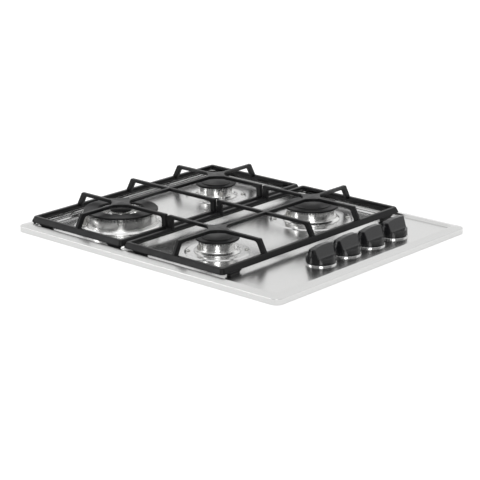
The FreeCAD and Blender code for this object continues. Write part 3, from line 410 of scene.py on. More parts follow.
def even_out(piece: Piece) -> Piece:
    """Keep large flat faces flat where rounded edges meet them."""
    piece.modifiers.new("weigh", "WEIGHTED_NORMAL").keep_sharp = True
    return piece


def settle(piece: Piece, smooth: float) -> None:
    """Keep what a piece's modifiers make as its own mesh."""
    bpy.context.view_layer.update()
    shown = piece.evaluated_get(bpy.context.evaluated_depsgraph_get())
    result = bpy.data.meshes.new_from_object(shown)
    piece.modifiers.clear()
    piece.data = result
    shade(piece, smooth)


def combine(base: Piece, others: Sequence[Piece], how: str, smooth: float = SMOOTH) -> Piece:
    """Join or cut solids and keep one clean mesh.

    Args:
        base: The solid that stays.
        others: Solids that are used up.
        how: "UNION", "DIFFERENCE" or "INTERSECT".
        smooth: Edges flatter than this, in degrees, are shaded smooth.

    Returns:
        The base with its new mesh.
    """
    for other in others:
        change = base.modifiers.new("combine", "BOOLEAN")
        change.object = other
        change.operation = how
        change.solver = "EXACT"
    settle(base, smooth)
    for other in others:
        bpy.data.objects.remove(other)
    return base


def soften(piece: Piece, width: float, degrees: float = 38.0) -> None:
    """Round the sharp edges of a finished solid.

    Args:
        piece: The solid.
        width: How wide the rounding is.
        degrees: Only edges sharper than this are rounded.
    """
    bevel = piece.modifiers.new("soften", "BEVEL")
    bevel.width = width * MM
    bevel.segments = 3
    bevel.limit_method = "ANGLE"
    bevel.angle_limit = math.radians(degrees)
    bevel.use_clamp_overlap = False
    settle(piece, degrees)


def joined(name: str, parts: Sequence[Piece]) -> Piece:
    """Put separate solids of one kind into one object."""
    mesh = bmesh.new()
    for part in parts:
        mesh.from_mesh(part.data)
        bpy.data.objects.remove(part)
    return placed(name, mesh)


def centre_of(node: str) -> Vector:
    """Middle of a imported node's box."""
    low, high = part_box(node)
    return (low + high) / (2 * MM)


def limits_of(node: str) -> Limits:
    """Left, right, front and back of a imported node's box."""
    low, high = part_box(node)
    return (low.x / MM, high.x / MM, low.y / MM, high.y / MM)


# --- Node trees ------------------------------------------------------------
class Nodes:
    """A node tree, with short ways to add nodes and feed their inputs."""

    def __init__(self, tree: bpy.types.NodeTree) -> None:
        """Work on a tree."""
        self.tree = tree

    def add(self, kind: str, feeds: dict | None = None, **settings: object) -> bpy.types.Node:
        """Add a node.

        Args:
            kind: Its type, without the ShaderNode in front.
            feeds: Sockets and numbers for its inputs.
            settings: Its own properties.

        Returns:
            The new node.
        """
        node = self.tree.nodes.new("ShaderNode" + kind)
        for label, value in settings.items():
            setattr(node, label, value)
        self.feed(node, feeds or {})
        return node

    def feed(self, node: bpy.types.Node, feeds: dict) -> None:
        """Link sockets to a node's inputs and set numbers on them."""
        for label, value in feeds.items():
            if isinstance(value, Socket):
                self.tree.links.new(value, node.inputs[label])
            else:
                node.inputs[label].default_value = value

    def group(self, tree: bpy.types.NodeTree, **values: float) -> bpy.types.NodeOutputs:
        """Place a shared group with its own values and return its outputs."""
        return self.add("Group", values, node_tree=tree).outputs

    def math(self, how: str, first: object, second: object, clamp: bool = False) -> Socket:
        """A sum, product or other step, kept between 0 and 1 where clamped."""
        return self.add("Math", {0: first, 1: second}, operation=how, use_clamp=clamp).outputs[0]

    def span(self, value: Socket, start: Flat = (0.0, 1.0), end: Flat = (0.0, 1.0)) -> Socket:
        """Carry a value from one band over to another."""
        labels = ("Value", "From Min", "From Max", "To Min", "To Max")
        return self.add("MapRange", dict(zip(labels, (value, *start, *end)))).outputs["Result"]


class Group(Nodes):
    """A shader node group with named numbers in and out."""

    def __init__(self, name: str, inputs: Sequence[str], outputs: Sequence[str]) -> None:
        """Make the group and its sockets.

        Args:
            name: The group's name.
            inputs: Names of its inputs, each 1 where it isn't set.
            outputs: Names of its outputs.
        """
        super().__init__(bpy.data.node_groups.new(name, "ShaderNodeTree"))
        new_socket = self.tree.interface.new_socket
        for label in inputs:
            new_socket(name=label, in_out="INPUT", socket_type="NodeSocketFloat").default_value = 1.0
        for label in outputs:
            new_socket(name=label, in_out="OUTPUT", socket_type="NodeSocketFloat")
        self.source = self.tree.nodes.new("NodeGroupInput").outputs
        self.sink = self.tree.nodes.new("NodeGroupOutput")
        self.coordinates = self.add("TexCoord").outputs

    def give(self, **values: Socket) -> bpy.types.NodeTree:
        """Link the group's outputs and return its tree."""
        self.feed(self.sink, values)
        return self.tree

    def noise(self, stretch: float | Corner, detail: float) -> Socket:
        """Noise from 0 to 1, scaled alike or by axis."""
        feeds = {"Detail": detail, "Vector": self.coordinates["Object"], "Scale": stretch}
        if isinstance(stretch, tuple):
            mapping = self.add("Mapping", {"Scale": stretch, "Vector": feeds["Vector"]})
            feeds |= {"Vector": mapping.outputs["Vector"], "Scale": 1.0}
        return self.add("TexNoise", feeds).outputs["Fac"]


class Effects:
    """The shader groups that the finishes share, each built once."""

    def __init__(self) -> None:
        """Build every group."""
        self.brushing = self._brushing()
        self.casting = self._casting()
        self.smudges = self._smudges()

    @staticmethod
    def _brushing() -> bpy.types.NodeTree:
        """Fine straight grain along X: a value and a height that vary across it."""
        group = Group("fine_brushing", ["Strength"], ["Grain", "Height"])
        fine = group.math("MULTIPLY", group.noise((6.0, 900.0, 900.0), 2.0), 0.6)
        broad = group.math("MULTIPLY", group.noise((3.0, 160.0, 160.0), 3.0), 0.4)
        centred = group.math("SUBTRACT", group.math("ADD", fine, broad), 0.5)
        scaled = group.math("MULTIPLY", centred, group.source["Strength"])
        return group.give(Grain=scaled, Height=group.math("ADD", scaled, 0.5))

    @staticmethod
    def _casting() -> bpy.types.NodeTree:
        """Pitted, slightly wavy skin of a casting under enamel."""
        group = Group("cast_skin", ["Coarse", "Fine"], ["Height", "Mottle"])
        coarse = group.math("MULTIPLY", group.noise(260.0, 3.0), group.source["Coarse"])
        fine = group.math("MULTIPLY", group.noise(1500.0, 2.0), group.source["Fine"])
        mottle = group.span(group.noise(45.0, 4.0), (0.3, 0.7))
        return group.give(Height=group.math("ADD", coarse, fine), Mottle=mottle)

    @staticmethod
    def _smudges() -> bpy.types.NodeTree:
        """Soft patches where a surface is a little duller."""
        group = Group("smudges", ["Amount"], ["Smudge"])
        patches = group.span(group.noise(14.0, 4.0), (0.42, 0.68))
        return group.give(Smudge=group.math("MULTIPLY", patches, group.source["Amount"]))


class Sky(Group):
    """Light level by direction: a white room behind and beside, a dark one in front, tall lamps."""

    NADIR = -90.0
    DARK_TOP = 36.0
    DARK_SOFT = 7.0
    LAMP_SOFT = 2.0
    LEAST = 0.001

    def __init__(
        self, dark: float, facing: float, spread: float, lamps: Sequence[tuple[float, ...]]
    ) -> None:
        """Build the group.

        Args:
            dark: Level of the room in front.
            facing: Azimuth of the dark part's middle, in degrees from the front towards the right.
            spread: Half its width in degrees.
            lamps: Each as (azimuth, half width, lowest, highest, level), in degrees but for the level.
        """
        super().__init__("studio_sky", ["White"], ["Level"])
        axes = self.add("SeparateXYZ", {0: self.coordinates["Generated"]})
        self.x, self.y, self.z = axes.outputs
        squares = [self.math("MULTIPLY", axis, axis) for axis in (self.x, self.y)]
        root = self.math("SQRT", self.math("ADD", *squares), 0.0)
        self.flat = self.math("MAXIMUM", root, self.LEAST)
        room = self.window(facing, spread, self.NADIR, self.DARK_TOP, self.DARK_SOFT)
        shaded = self.math("MULTIPLY", room, 1.0 - dark)
        level = self.math("SUBTRACT", self.source["White"], shaded)
        for *patch, bright in lamps:
            lamp = self.math("MULTIPLY", self.window(*patch, self.LAMP_SOFT), bright)
            level = self.math("ADD", level, lamp)
        self.give(Level=level)

    def window(self, azimuth: float, half: float, low: float, high: float, soft: float) -> Socket:
        """Mask of the directions inside a patch of the sky, with soft edges.

        Args:
            azimuth: Heading of its middle, in degrees from the front towards the right.
            half: Half its width in degrees.
            low: Lowest elevation in degrees.
            high: Highest elevation in degrees.
            soft: Half the width of its edges in degrees.

        Returns:
            1 inside and 0 outside.
        """
        turn = math.radians(azimuth)
        across = self.math("MULTIPLY", self.x, math.sin(turn))
        ahead = self.math("MULTIPLY", self.y, -math.cos(turn))
        heading = self.math("DIVIDE", self.math("ADD", across, ahead), self.flat)
        band = tuple(math.cos(math.radians(half + way * soft)) for way in (1.0, -1.0))
        mask = self.span(heading, band)
        for edge, way in ((low, 1.0), (high, -1.0)):
            if edge > self.NADIR:
                band = tuple(math.sin(math.radians(edge - way * side * soft)) for side in (1.0, -1.0))
                mask = self.math("MULTIPLY", mask, self.span(self.z, band))
        return mask


# --- Finishes --------------------------------------------------------------
class Grain(Enum):
    """What a finish takes its detail from: the brushing, or this much of a casting's pits."""

    BRUSHED = 0.0
    CAST = 1.0
    MOULDED = 0.3


@dataclass(frozen=True)
class Finish:
    """One surface finish, built as a node material.

    `relief` and `depth` are the bump's strength and its height in millimetres.  The two swings are
    how far roughness and tone vary either way, and `smudge` is what the smudges add to roughness.
    """

    name: str
    color: Corner
    metallic: float
    roughness: float
    grain: Grain
    relief: float
    depth: float
    rough_swing: float
    tone_swing: float
    smudge: float
    ior: float = 1.5

    FINE_PITS = 0.5
    LEAST_ROUGH = 0.02

    def build(self, effects: Effects) -> bpy.types.Material:
        """Make the material.

        Args:
            effects: The shared shader groups.

        Returns:
            The finished material.
        """
        material = bpy.data.materials.new(self.name)
        material.use_nodes = True
        nodes = Nodes(material.node_tree)
        detail, height = self._detail(nodes, effects)
        smudge = nodes.group(effects.smudges, Amount=self.smudge)["Smudge"]
        low = max(self.LEAST_ROUGH, self.roughness - self.rough_swing)
        rough = nodes.span(detail, end=(low, self.roughness + self.rough_swing))
        dark, light = ([min(1.0, c * (1 + way * self.tone_swing)) for c in self.color] for way in (-1, 1))
        tones = {"Factor": detail, "A": (*dark, 1.0), "B": (*light, 1.0)}
        tone = nodes.add("Mix", tones, data_type="RGBA")
        bumps = {"Strength": self.relief, "Distance": self.depth * MM, "Height": height}
        bump = nodes.add("Bump", bumps)
        nodes.feed(nodes.tree.nodes["Principled BSDF"], {
            "Metallic": self.metallic,
            "IOR": self.ior,
            "Roughness": nodes.math("ADD", rough, smudge, clamp=True),
            "Base Color": tone.outputs["Result"],
            "Normal": bump.outputs["Normal"],
        })
        return material

    def _detail(self, nodes: Nodes, effects: Effects) -> tuple[Socket, Socket]:
        """The effect's variation from 0 to 1, and its height."""
        if self.grain is Grain.BRUSHED:
            brushing = nodes.group(effects.brushing, Strength=1.0)
            return nodes.math("ADD", brushing["Grain"], 0.5, clamp=True), brushing["Height"]
        casting = nodes.group(effects.casting, Coarse=self.grain.value, Fine=self.FINE_PITS)
        return casting["Mottle"], casting["Height"]


BRUSHED, CAST, MOULDED = Grain
FINISHES: dict[str, Finish] = {slot: Finish(*values) for slot, *values in (
    ("top_steel", "brushed_top_steel", (0.67, 0.67, 0.665), 1.0, 0.22, BRUSHED,
     0.03, 0.04, 0.04, 0.03, 0.015),
    ("tray_steel", "galvanised_sheet", (0.47, 0.48, 0.49), 0.8, 0.42, CAST, 0.05, 0.1, 0.1, 0.14, 0.08),
    ("seal_foam", "sealing_foam", (0.045, 0.045, 0.045), 0.0, 0.9, CAST, 0.8, 0.6, 0.04, 0.2, 0.0),
    ("zinc_steel", "zinc_plated_steel", (0.56, 0.56, 0.54), 1.0, 0.32, CAST, 0.05, 0.1, 0.08, 0.08, 0.06),
    ("grate_iron", "enamelled_cast_iron", (0.008, 0.008, 0.0085), 0.0, 0.34, CAST,
     0.2, 0.15, 0.05, 0.12, 0.04, 1.28),
    ("foot_rubber", "foot_rubber", (0.02, 0.02, 0.02), 0.0, 0.75, MOULDED, 0.2, 0.2, 0.05, 0.1, 0.0),
    ("burner_cast", "base_casting", (0.80, 0.80, 0.79), 1.0, 0.26, CAST, 0.08, 0.1, 0.05, 0.05, 0.06),
    ("crown_cast", "polished_crown_casting", (0.89, 0.89, 0.88), 1.0, 0.20, CAST,
     0.05, 0.1, 0.04, 0.04, 0.05),
    ("cap_enamel", "cap_enamel", (0.010, 0.010, 0.0105), 0.0, 0.36, CAST, 0.08, 0.1, 0.06, 0.10, 0.06, 1.22),
    ("brass", "turned_brass", (0.70, 0.52, 0.24), 1.0, 0.28, CAST, 0.06, 0.1, 0.08, 0.08, 0.1),
    ("ceramic", "glazed_ceramic", (0.40, 0.39, 0.37), 0.0, 0.18, MOULDED, 0.05, 0.1, 0.04, 0.03, 0.1),
    ("rod_steel", "drawn_rod_steel", (0.42, 0.42, 0.42), 1.0, 0.34, CAST, 0.05, 0.1, 0.08, 0.08, 0.1),
    ("rail_steel", "zinc_plated_tube", (0.50, 0.51, 0.52), 1.0, 0.36, CAST, 0.05, 0.1, 0.08, 0.08, 0.08),
    ("tube_aluminium", "drawn_aluminium", (0.70, 0.71, 0.72), 1.0, 0.34, CAST, 0.05, 0.1, 0.08, 0.05, 0.08),
    ("knob_plastic", "satin_black_plastic", (0.010, 0.010, 0.011), 0.0, 0.15, MOULDED,
     0.04, 0.06, 0.03, 0.10, 0.02),
    ("bezel_chrome", "bezel_chrome", (0.80, 0.80, 0.80), 1.0, 0.08, MOULDED, 0.02, 0.05, 0.03, 0.02, 0.03),
    ("inner_plastic", "pale_moulding", (0.72, 0.72, 0.68), 0.0, 0.45, MOULDED, 0.1, 0.1, 0.06, 0.05, 0.05),
    ("black_plastic", "black_moulding", (0.03, 0.03, 0.03), 0.0, 0.42, MOULDED, 0.15, 0.1, 0.06, 0.1, 0.05),
    ("lead_silicone", "silicone_sleeve", (0.62, 0.60, 0.56), 0.0, 0.5, MOULDED, 0.1, 0.1, 0.06, 0.06, 0.05),
)}


class Workshop:
    """Hands out materials and registers pieces."""

    def __init__(self, frame: dict) -> None:
        """Build every finish once.
        """
        self.frame = frame
        effects = Effects()
        self.materials = {slot: finish.build(effects) for slot, finish in FINISHES.items()}
        self.slots = {part["node"]: part["material_slot"] for part in frame["record"]["subparts"]}

    def dress(self, piece: Piece, slot: str) -> None:
        """Give a piece one finish."""
        piece.data.materials.clear()
        piece.data.materials.append(self.materials[slot])

    def dress_nodes(self) -> None:
        """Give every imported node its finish."""
        for name, item in self.frame["nodes"].items():
            self.dress(item, self.slots[name])

    def add(self, piece: Piece, node: str) -> None:
        """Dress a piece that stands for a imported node, on the node's own body.

        Args:
            piece: The finished mesh.
            node: The node that it replaces.
        """
        slot = self.slots[node]
        self.dress(piece, slot)
        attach(piece, self.frame["nodes"][node]["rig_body"])
        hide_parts(node)
        LOG.info("%s stands for %s", piece.name, node)


# --- Steel top -------------------------------------------------------------
@dataclass
class SteelTop:
    """Pressed sheet with a raised border, a shallow well and a round pressing at each burner."""

    shop: Workshop
    burners: Sequence["Burner"]
    knob_places: Sequence[Flat]
    gauge: float = 0.8
    corner: float = 14.0
    border_slope: float = 14.0
    border_share: float = 4.0 / 14.0
    well: Limits = (-268.0, 152.0, -218.0, 218.0)
    well_corner: float = 22.0
    well_share: float = 0.8
    floor: float = WORKTOP + 6.5
    shaft_hole: float = 6.0
    screw_hole: float = 2.2
    corner_steps: int = 10

    def build(self) -> None:
        """Make, thicken and dress the top."""
        shape = Shape()
        border = self._run(shape, limits_of("hob_top"), self.corner, self.border_share, [
            (0.0, WORKTOP, 0.0), (0.0, WORKTOP + 10.0, 0.9), (14.4, WORKTOP + 13.5, 4.0),
            (16.2, WORKTOP + 13.5, 1.4), (19.0, PANEL, 1.6), (22.0, PANEL, 0.0),
        ])
        basin = self._run(shape, self.well, self.well_corner, self.well_share, [
            (-4.0, PANEL, 0.0), (0.0, PANEL, 5.0), (5.0, self.floor, 5.0), (10.0, self.floor, 0.0),
        ])
        shafts = [shape.ring(circle(place, self.shaft_hole, 32), PANEL) for place in self.knob_places]
        shape.fill([border[-1], basin[0]] + shafts)
        shape.fill([basin[-1]] + [self._pressing(shape, burner) for burner in self.burners])
        piece = shape.finish("steel_top", 60.0)
        self._thicken(piece)
        self.shop.add(piece, "hob_top")

    def _run(
        self, shape: Shape, limits: Limits, corner: float, share: float, section: Sequence[Corner]
    ) -> list:
        """Sweep a section round a rectangle.

        Args:
            shape: The sheet in the making.
            limits: The rectangle.
            corner: Its corner radius.
            share: What the radius loses for each millimetre of inset, as far as the slope goes.
            section: The section as (inset, level, rounding).

        Returns:
            The rings, from the first to the last.
        """
        rings = []
        for inset, level in round_corners(section, closed=False, steps=5):
            radius = corner - share * min(inset, self.border_slope)
            rings.append(shape.ring(rounded_box(limits, inset, radius, self.corner_steps), level))
        shape.stack(rings)
        return rings

    def _pressing(self, shape: Shape, burner: "Burner") -> list:
        """One round pressing with its openings; its outer ring is returned."""
        section = burner.pressing(self.floor)
        circles = [shape.ring(circle(burner.centre, radius, ROUND), level) for radius, level in section]
        shape.stack(circles)
        opening = shape.ring(burner.opening_outline(), PLATEAU)
        holes = [shape.ring(circle(place, self.screw_hole, 16), PLATEAU) for place in burner.screw_places()]
        shape.fill([circles[-1], opening] + holes)
        return circles[0]

    def _thicken(self, piece: Piece) -> None:
        """Give the sheet its gauge, downwards and inwards."""
        flat = max(piece.data.polygons, key=lambda face: face.area)
        if flat.normal.z < 0:
            piece.data.flip_normals()
        solid = piece.modifiers.new("gauge", "SOLIDIFY")
        solid.thickness = self.gauge * MM
        solid.offset = -1.0
        even_out(piece)


# --- Grates ----------------------------------------------------------------
@dataclass
class Grate:
    """One cast grate: leaning frame, arched bars, webs where they cross, and feet."""

    shop: Workshop
    node: str
    column: float
    rows: tuple[float, float, float]
    seam_side: int
    feet: Sequence[tuple[Flat, bool]]
    low: float = WORKTOP + 15.8
    top: float = WORKTOP + 25.8
    peak: float = WORKTOP + 48.0
    under: float = WORKTOP + 42.0
    foot_low: float = PANEL + 1.5
    thick: float = 6.5
    draft: float = 4.5
    frame_thick: float = 11.0
    frame_corner: float = 7.0
    corner_loss: float = 5.0
    undercut: float = 7.5
    bevel: float = 5.5
    end_inset: float = 15.0
    seam_inset: float = 1.1
    seam_leg: float = 10.4
    web: float = 18.25
    hollow: float = 10.4
    hollow_radius: float = 26.0
    edge: float = 1.25

    def build(self) -> None:
        """Join every solid of the casting and dress it."""
        left, right, front, back = limits_of(self.node)
        parts = []
        for drop, row in zip((0.02, 0.04, 0.02), self.rows):
            arch = self._arch(left, right, drop, self.seam_side)
            parts.append(slab("bar", arch, self.thick, self.edge, Plane.ALONG_X, row))
        long_bar = self._arch(front, back, 0.0, 0)
        parts.append(slab("long_bar", long_bar, self.thick, self.edge, Plane.ALONG_Y, self.column))
        parts += [self._web(row) for row in (self.rows[0], self.rows[2])]
        for place, along_x in self.feet:
            parts += self._foot(place, along_x)
        piece = combine(self._frame((left, right, front, back)), parts, "UNION", 38.0)
        piece.name = self.node + "_casting"
        self.shop.add(even_out(piece), self.node)

    def _frame(self, limits: Limits) -> Piece:
        """The rim that carries the bars."""
        section = round_corners([
            (0.0, self.low, 1.4),
            (self.draft, self.top, 1.5),
            (self.frame_thick, self.top, 1.5),
            (self.frame_thick, self.low + self.bevel, 1.5),
            (self.undercut, self.low, 1.0),
        ], steps=3)
        shape = Shape()
        rings = []
        for inset, level in section:
            corner = self.frame_corner - self.corner_loss * inset / self.frame_thick
            rings.append(shape.ring(rounded_box(limits, inset, corner, 6), level))
        shape.stack(rings, closed=True)
        return shape.finish("frame")

    def _arch(self, low: float, high: float, drop: float, seam: int) -> list[Flat]:
        """Outline of a bar with its two legs, from one end to the other.

        Args:
            low: Where the bar starts.
            high: Where it ends.
            drop: How far its top lies under the peak.
            seam: 1 where the high end is at the grates' seam, -1 where the low end is, else 0.

        Returns:
            The outline's points in order.
        """
        first, second = (
            [(end + inset * way, level, radius) for inset, level, radius in self._leg(drop, seam == -way)]
            for end, way in ((low, 1), (high, -1))
        )
        return round_corners(first[:2:-1] + second[3:] + second[:3] + first[2::-1], steps=5)

    def _leg(self, drop: float, upright: bool) -> list[Corner]:
        """One leg as (inset, level, radius): three corners of its inner line, then its outer line."""
        root, peak = self.top - 5.0, self.peak - drop
        if upright:
            face, back = self.seam_inset, self.seam_inset + self.seam_leg
            return [
                (back + 1.2, root, 0.0), (back, self.top + 0.4, 2.5), (back, self.under, 4.5),
                (face + 0.3, peak, 2.4), (face, self.top, 1.5), (face + 1.4, root, 0.0),
            ]
        return [
            (self.end_inset, root, 0.0), (self.end_inset + 1.4, self.top + 0.4, 3.0),
            (self.end_inset + 9.5, self.under, 8.0), (self.end_inset + 1.6, peak, 2.6),
            (self.draft + 0.15, self.top, 4.0), (self.draft / 2 + 0.25, root, 0.0),
        ]

    def _web(self, row: float) -> Piece:
        """Thin plate that fills the corners where two bars cross."""
        tip, reach = self.thick / 2 - 0.05, self.web + 3.0
        corners: list[Corner] = []
        for quarter in range(4):
            c, s = math.cos(quarter * math.pi / 2), math.sin(quarter * math.pi / 2)
            for u, v, radius in (
                (reach, -tip, 0.0), (reach, tip, 0.0), (self.hollow, self.hollow, self.hollow_radius)
            ):
                corners.append((self.column + (u * c - v * s), row + (u * s + v * c), radius))
        thick = self.peak - self.under - 0.2
        outline = round_corners(corners, steps=6)
        return slab("web", outline, thick, self.edge, Plane.FLAT, self.peak - 0.06 - thick / 2)

    def _foot(self, place: Flat, along_x: bool) -> list[Piece]:
        """Leg that stands on its pad, and the gusset over it under the rim."""
        solids = []
        for long, wide, low, high in (
            (24.0, 9.0, self.foot_low, self.low + 2.0),
            (32.0, 8.8, self.low - 3.0, self.low + 2.1),
        ):
            size = (long, wide, high - low) if along_x else (wide, long, high - low)
            solids.append(block("foot", place, size, (low + high) / 2, 2.0, 0.7, (4, 3)))
        return solids


def load_grates(shop: Workshop, burners: Sequence["Burner"]) -> list[Grate]:
    """Both grates, with their bars over the burners' centres."""
    row = burners[1].centre[1]
    rows, rim = (-row, 0.0, row), 7.5
    front = limits_of("left_grate")[2] + rim
    side = limits_of("right_grate")[1] - rim
    left_feet = [((x, y), True) for x in (-243.5, -80.0) for y in (front, -front)]
    right_feet = [((-17.5, y), True) for y in (front, -front)]
    right_feet += [((side, y), False) for y in (-199.0, 199.0)]
    return [
        Grate(shop, "left_grate", burners[0].centre[0], rows, 1, left_feet),
        Grate(shop, "right_grate", burners[2].centre[0], rows, -1, right_feet),
    ]


# --- Burners ---------------------------------------------------------------
@dataclass
class Burner:
    """One burner: base, flame ring and cap, with the places of the screws and electrode beside it."""

    shop: Workshop
    place: str
    boss: float
    ports: int
    spark: float
    screws: float
    cap_thick: float = 3.5
    wall: float = 3.0
    lip: float = 3.5
    skirt: float = 6.0
    foot: float = WORKTOP + 8.4
    seat: float = WORKTOP + 14.0
    holder: float = 12.0
    holder_low: float = WORKTOP - 28.0
    cup_low: float = WORKTOP - 8.0
    cup_floor: float = WORKTOP - 3.0
    inlet_level: float = WORKTOP - 19.0
    throat: Flat = (7.0, 9.5)
    lug: float = 6.0
    clear: float = 0.6
    jet_hole: float = 4.02
    screw_hole: float = 2.02
    spark_hole: float = 3.25
    spark_notch: float = 4.6
    port_deep: float = 5.0
    port_half: float = 1.05
    centre: Flat = field(init=False)
    crown: float = field(init=False)
    cap: float = field(init=False)
    top: float = field(init=False)

    def __post_init__(self) -> None:
        """Read the burner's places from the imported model."""
        left, right, front, back = limits_of(f"burner_cap_{self.place}")
        self.centre = ((left + right) / 2, (front + back) / 2)
        self.cap = (right - left) / 2
        left, right, _, _ = limits_of(f"burner_crown_{self.place}")
        self.crown = (right - left) / 2
        self.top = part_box(f"burner_crown_{self.place}")[1].z / MM

    def at(self, radius: float, degrees: float) -> Flat:
        """A point at a radius and plan angle about the burner."""
        angle = math.radians(degrees)
        return (self.centre[0] + radius * math.cos(angle), self.centre[1] + radius * math.sin(angle))

    def spark_place(self) -> Flat:
        """Where the electrode stands."""
        return self.at(self.crown + 3.0, self.spark)

    def screw_places(self) -> list[Flat]:
        """Where the two screws are."""
        return [self.at(self.screws, 45.0), self.at(self.screws, 225.0)]

    def opening_outline(self) -> list[Flat]:
        """The opening in the top: a circle with a notch for the electrode."""
        spark, long_steps, short_steps = Vector(self.spark_place()), 90, 16
        opening, notch = self.crown + self.lip + self.clear, self.lug + self.clear
        start = math.radians(self.spark)
        gap = (spark - Vector(self.centre)).length
        half = math.acos((opening**2 + gap**2 - notch**2) / (2 * opening * gap))
        reach = math.acos((notch**2 + gap**2 - opening**2) / (2 * notch * gap))
        points = []
        for step in range(long_steps + 1):
            turn = start + half + (2 * math.pi - 2 * half) * step / long_steps
            points.append(self.at(opening, math.degrees(turn)))
        for step in range(1, short_steps):
            turn = start - (math.pi - reach) + 2 * (math.pi - reach) * step / short_steps
            points.append((spark.x + notch * math.cos(turn), spark.y + notch * math.sin(turn)))
        return points

    def pressing(self, floor: float) -> list[Flat]:
        """Section of the round pressing as (radius, level), from the well's floor inwards."""
        return round_corners([
            (self.boss + 3.0, floor, 0.0), (self.boss, floor, 2.0),
            (self.boss - 3.0, PLATEAU, 2.0), (self.boss - 5.0, PLATEAU, 0.0),
        ], closed=False, steps=5)

    def build(self) -> None:
        """Make and dress the base, the crown and the cap."""
        self.shop.add(self._base(), f"burner_base_{self.place}")
        self.shop.add(self._crown(), f"burner_crown_{self.place}")
        self.shop.add(self._lid(), f"burner_cap_{self.place}")

    def _base(self) -> Piece:
        """Cup with a flared rim, jet holder and the electrode's lug."""
        inside, outside, under = self.crown - self.lip, self.crown + self.lip, SHEET_UNDER
        body, flange, rim = inside + self.wall, self.boss - 4.0, outside + self.skirt
        cup = lathe("base_" + self.place, [
            (0.0, self.holder_low, 0.0), (self.holder, self.holder_low, 1.5),
            (self.holder, self.cup_low, 2.0), (body, self.cup_low, 2.0),
            (body, under - self.wall, 1.0), (flange, under - self.wall, 0.6), (flange, under, 0.6),
            (outside, under, 0.0), (outside, self.foot, 0.0), (rim, self.foot, 0.2),
            (rim, self.foot + 1.2, 0.6), (outside, self.seat - 1.6, 3.0),
            (outside - 0.3, self.seat, 0.6), (inside, self.seat, 0.8),
            (inside, self.cup_floor, 2.5), (0.0, self.cup_floor, 0.0),
        ], self.centre, arc=3)
        x, y = self.centre
        inlet = slab("inlet", circle((y, self.inlet_level), 7.0, 32), 20.0, 0.8, Plane.ALONG_Y, x + 10.0)
        low, high, spark = under - self.wall + 0.1, self.seat - 0.05, self.spark_place()
        section = [(0.0, low, 0.0), (self.lug, low, 0.0), (self.lug, high, 1.0), (0.0, high, 0.0)]
        combine(cup, [lathe("lug", section, spark, steps=40), inlet], "UNION")
        holes = [
            (spark, self.spark_hole, WORKTOP, self.seat + 2.0),
            (self.centre, self.jet_hole, WORKTOP - 30.0, WORKTOP + 2.0),
        ] + [(place, self.screw_hole, WORKTOP, self.seat) for place in self.screw_places()]
        combine(cup, [post(*hole) for hole in holes], "DIFFERENCE")
        return even_out(cup)

    def _crown(self) -> Piece:
        """Ported flame ring."""
        spigot, wall_in = self.crown - self.lip - FIT, self.crown - self.wall
        low, ceiling = self.seat - 6.0, self.seat + self.wall
        bore, neck = self.throat
        ring = lathe("crown_" + self.place, [
            (bore, low - 4.0, 0.4), (neck, low - 4.0, 0.4), (neck, ceiling, 1.0),
            (spigot - self.wall, ceiling, 1.0), (spigot - self.wall, low, 0.4), (spigot, low, 0.4),
            (spigot, self.seat, 0.0), (self.crown, self.seat, 0.7), (self.crown, self.top, 0.5),
            (wall_in, self.top, 0.4), *self._middle(wall_in, ceiling),
        ], self.centre, arc=2, steps=120, closed=True)
        combine(ring, [
            self._slots(wall_in - 1.0, self.crown + 1.0, self.top - self.port_deep, self.ports),
            post(self.spark_place(), self.spark_notch, low - 1.0, self.top + 2.0, 40),
            *self._extra_cuts(),
        ], "DIFFERENCE")
        return even_out(ring)

    def _middle(self, wall_in: float, ceiling: float) -> list[Corner]:
        """Corners of the crown's section inside its outer wall."""
        return [(wall_in, ceiling + self.wall, 1.0), (self.throat[0], ceiling + self.wall, 0.5)]

    def _extra_cuts(self) -> list[Piece]:
        """Solids to cut beyond the ports and the electrode's notch."""
        return []

    def _slots(self, inner: float, outer: float, low: float, count: int, high: float = 2.0) -> Piece:
        """A ring of radial bars that cut the ports.

        Args:
            inner: Radius where the bars start.
            outer: Radius where they end.
            low: Level of their undersides.
            count: How many there are.
            high: How far they stand above the crown's top.

        Returns:
            The bars as one piece.
        """
        shape, centre = Shape(), Vector(self.centre)
        for index in range(count):
            turn = 2 * math.pi * index / count
            along = Vector((math.cos(turn), math.sin(turn)))
            side = Vector((-along.y, along.x)) * self.port_half
            corners = (along * inner - side, along * outer - side, along * outer + side, along * inner + side)
            flat = [tuple(centre + corner) for corner in corners]
            shape.tube([shape.ring(flat, level) for level in (low, self.top + high)])
        return shape.finish("slots")

    def _lid(self) -> Piece:
        """Enamelled lid with a rolled rim and a raised disc."""
        edge, inside, low = self.cap, self.crown - self.wall - FIT, self.top
        high, disc, step = low + self.cap_thick, edge * 0.7, inside - 3.0
        return even_out(lathe("cap_" + self.place, [
            (0.0, low, 0.0), (step, low, 0.4), (step, low - 2.5, 0.4), (inside, low - 2.5, 0.4),
            (inside, low, 0.3), (edge, low, 1.3), (edge, high - 0.35, 1.5), (edge - 3.2, high - 0.1, 2.0),
            (disc + 1.4, high - 0.35, 0.8), (disc - 0.4, high + 1.0, 1.2), (0.0, high + 1.0, 0.0),
        ], self.centre, smooth=SMOOTHER))


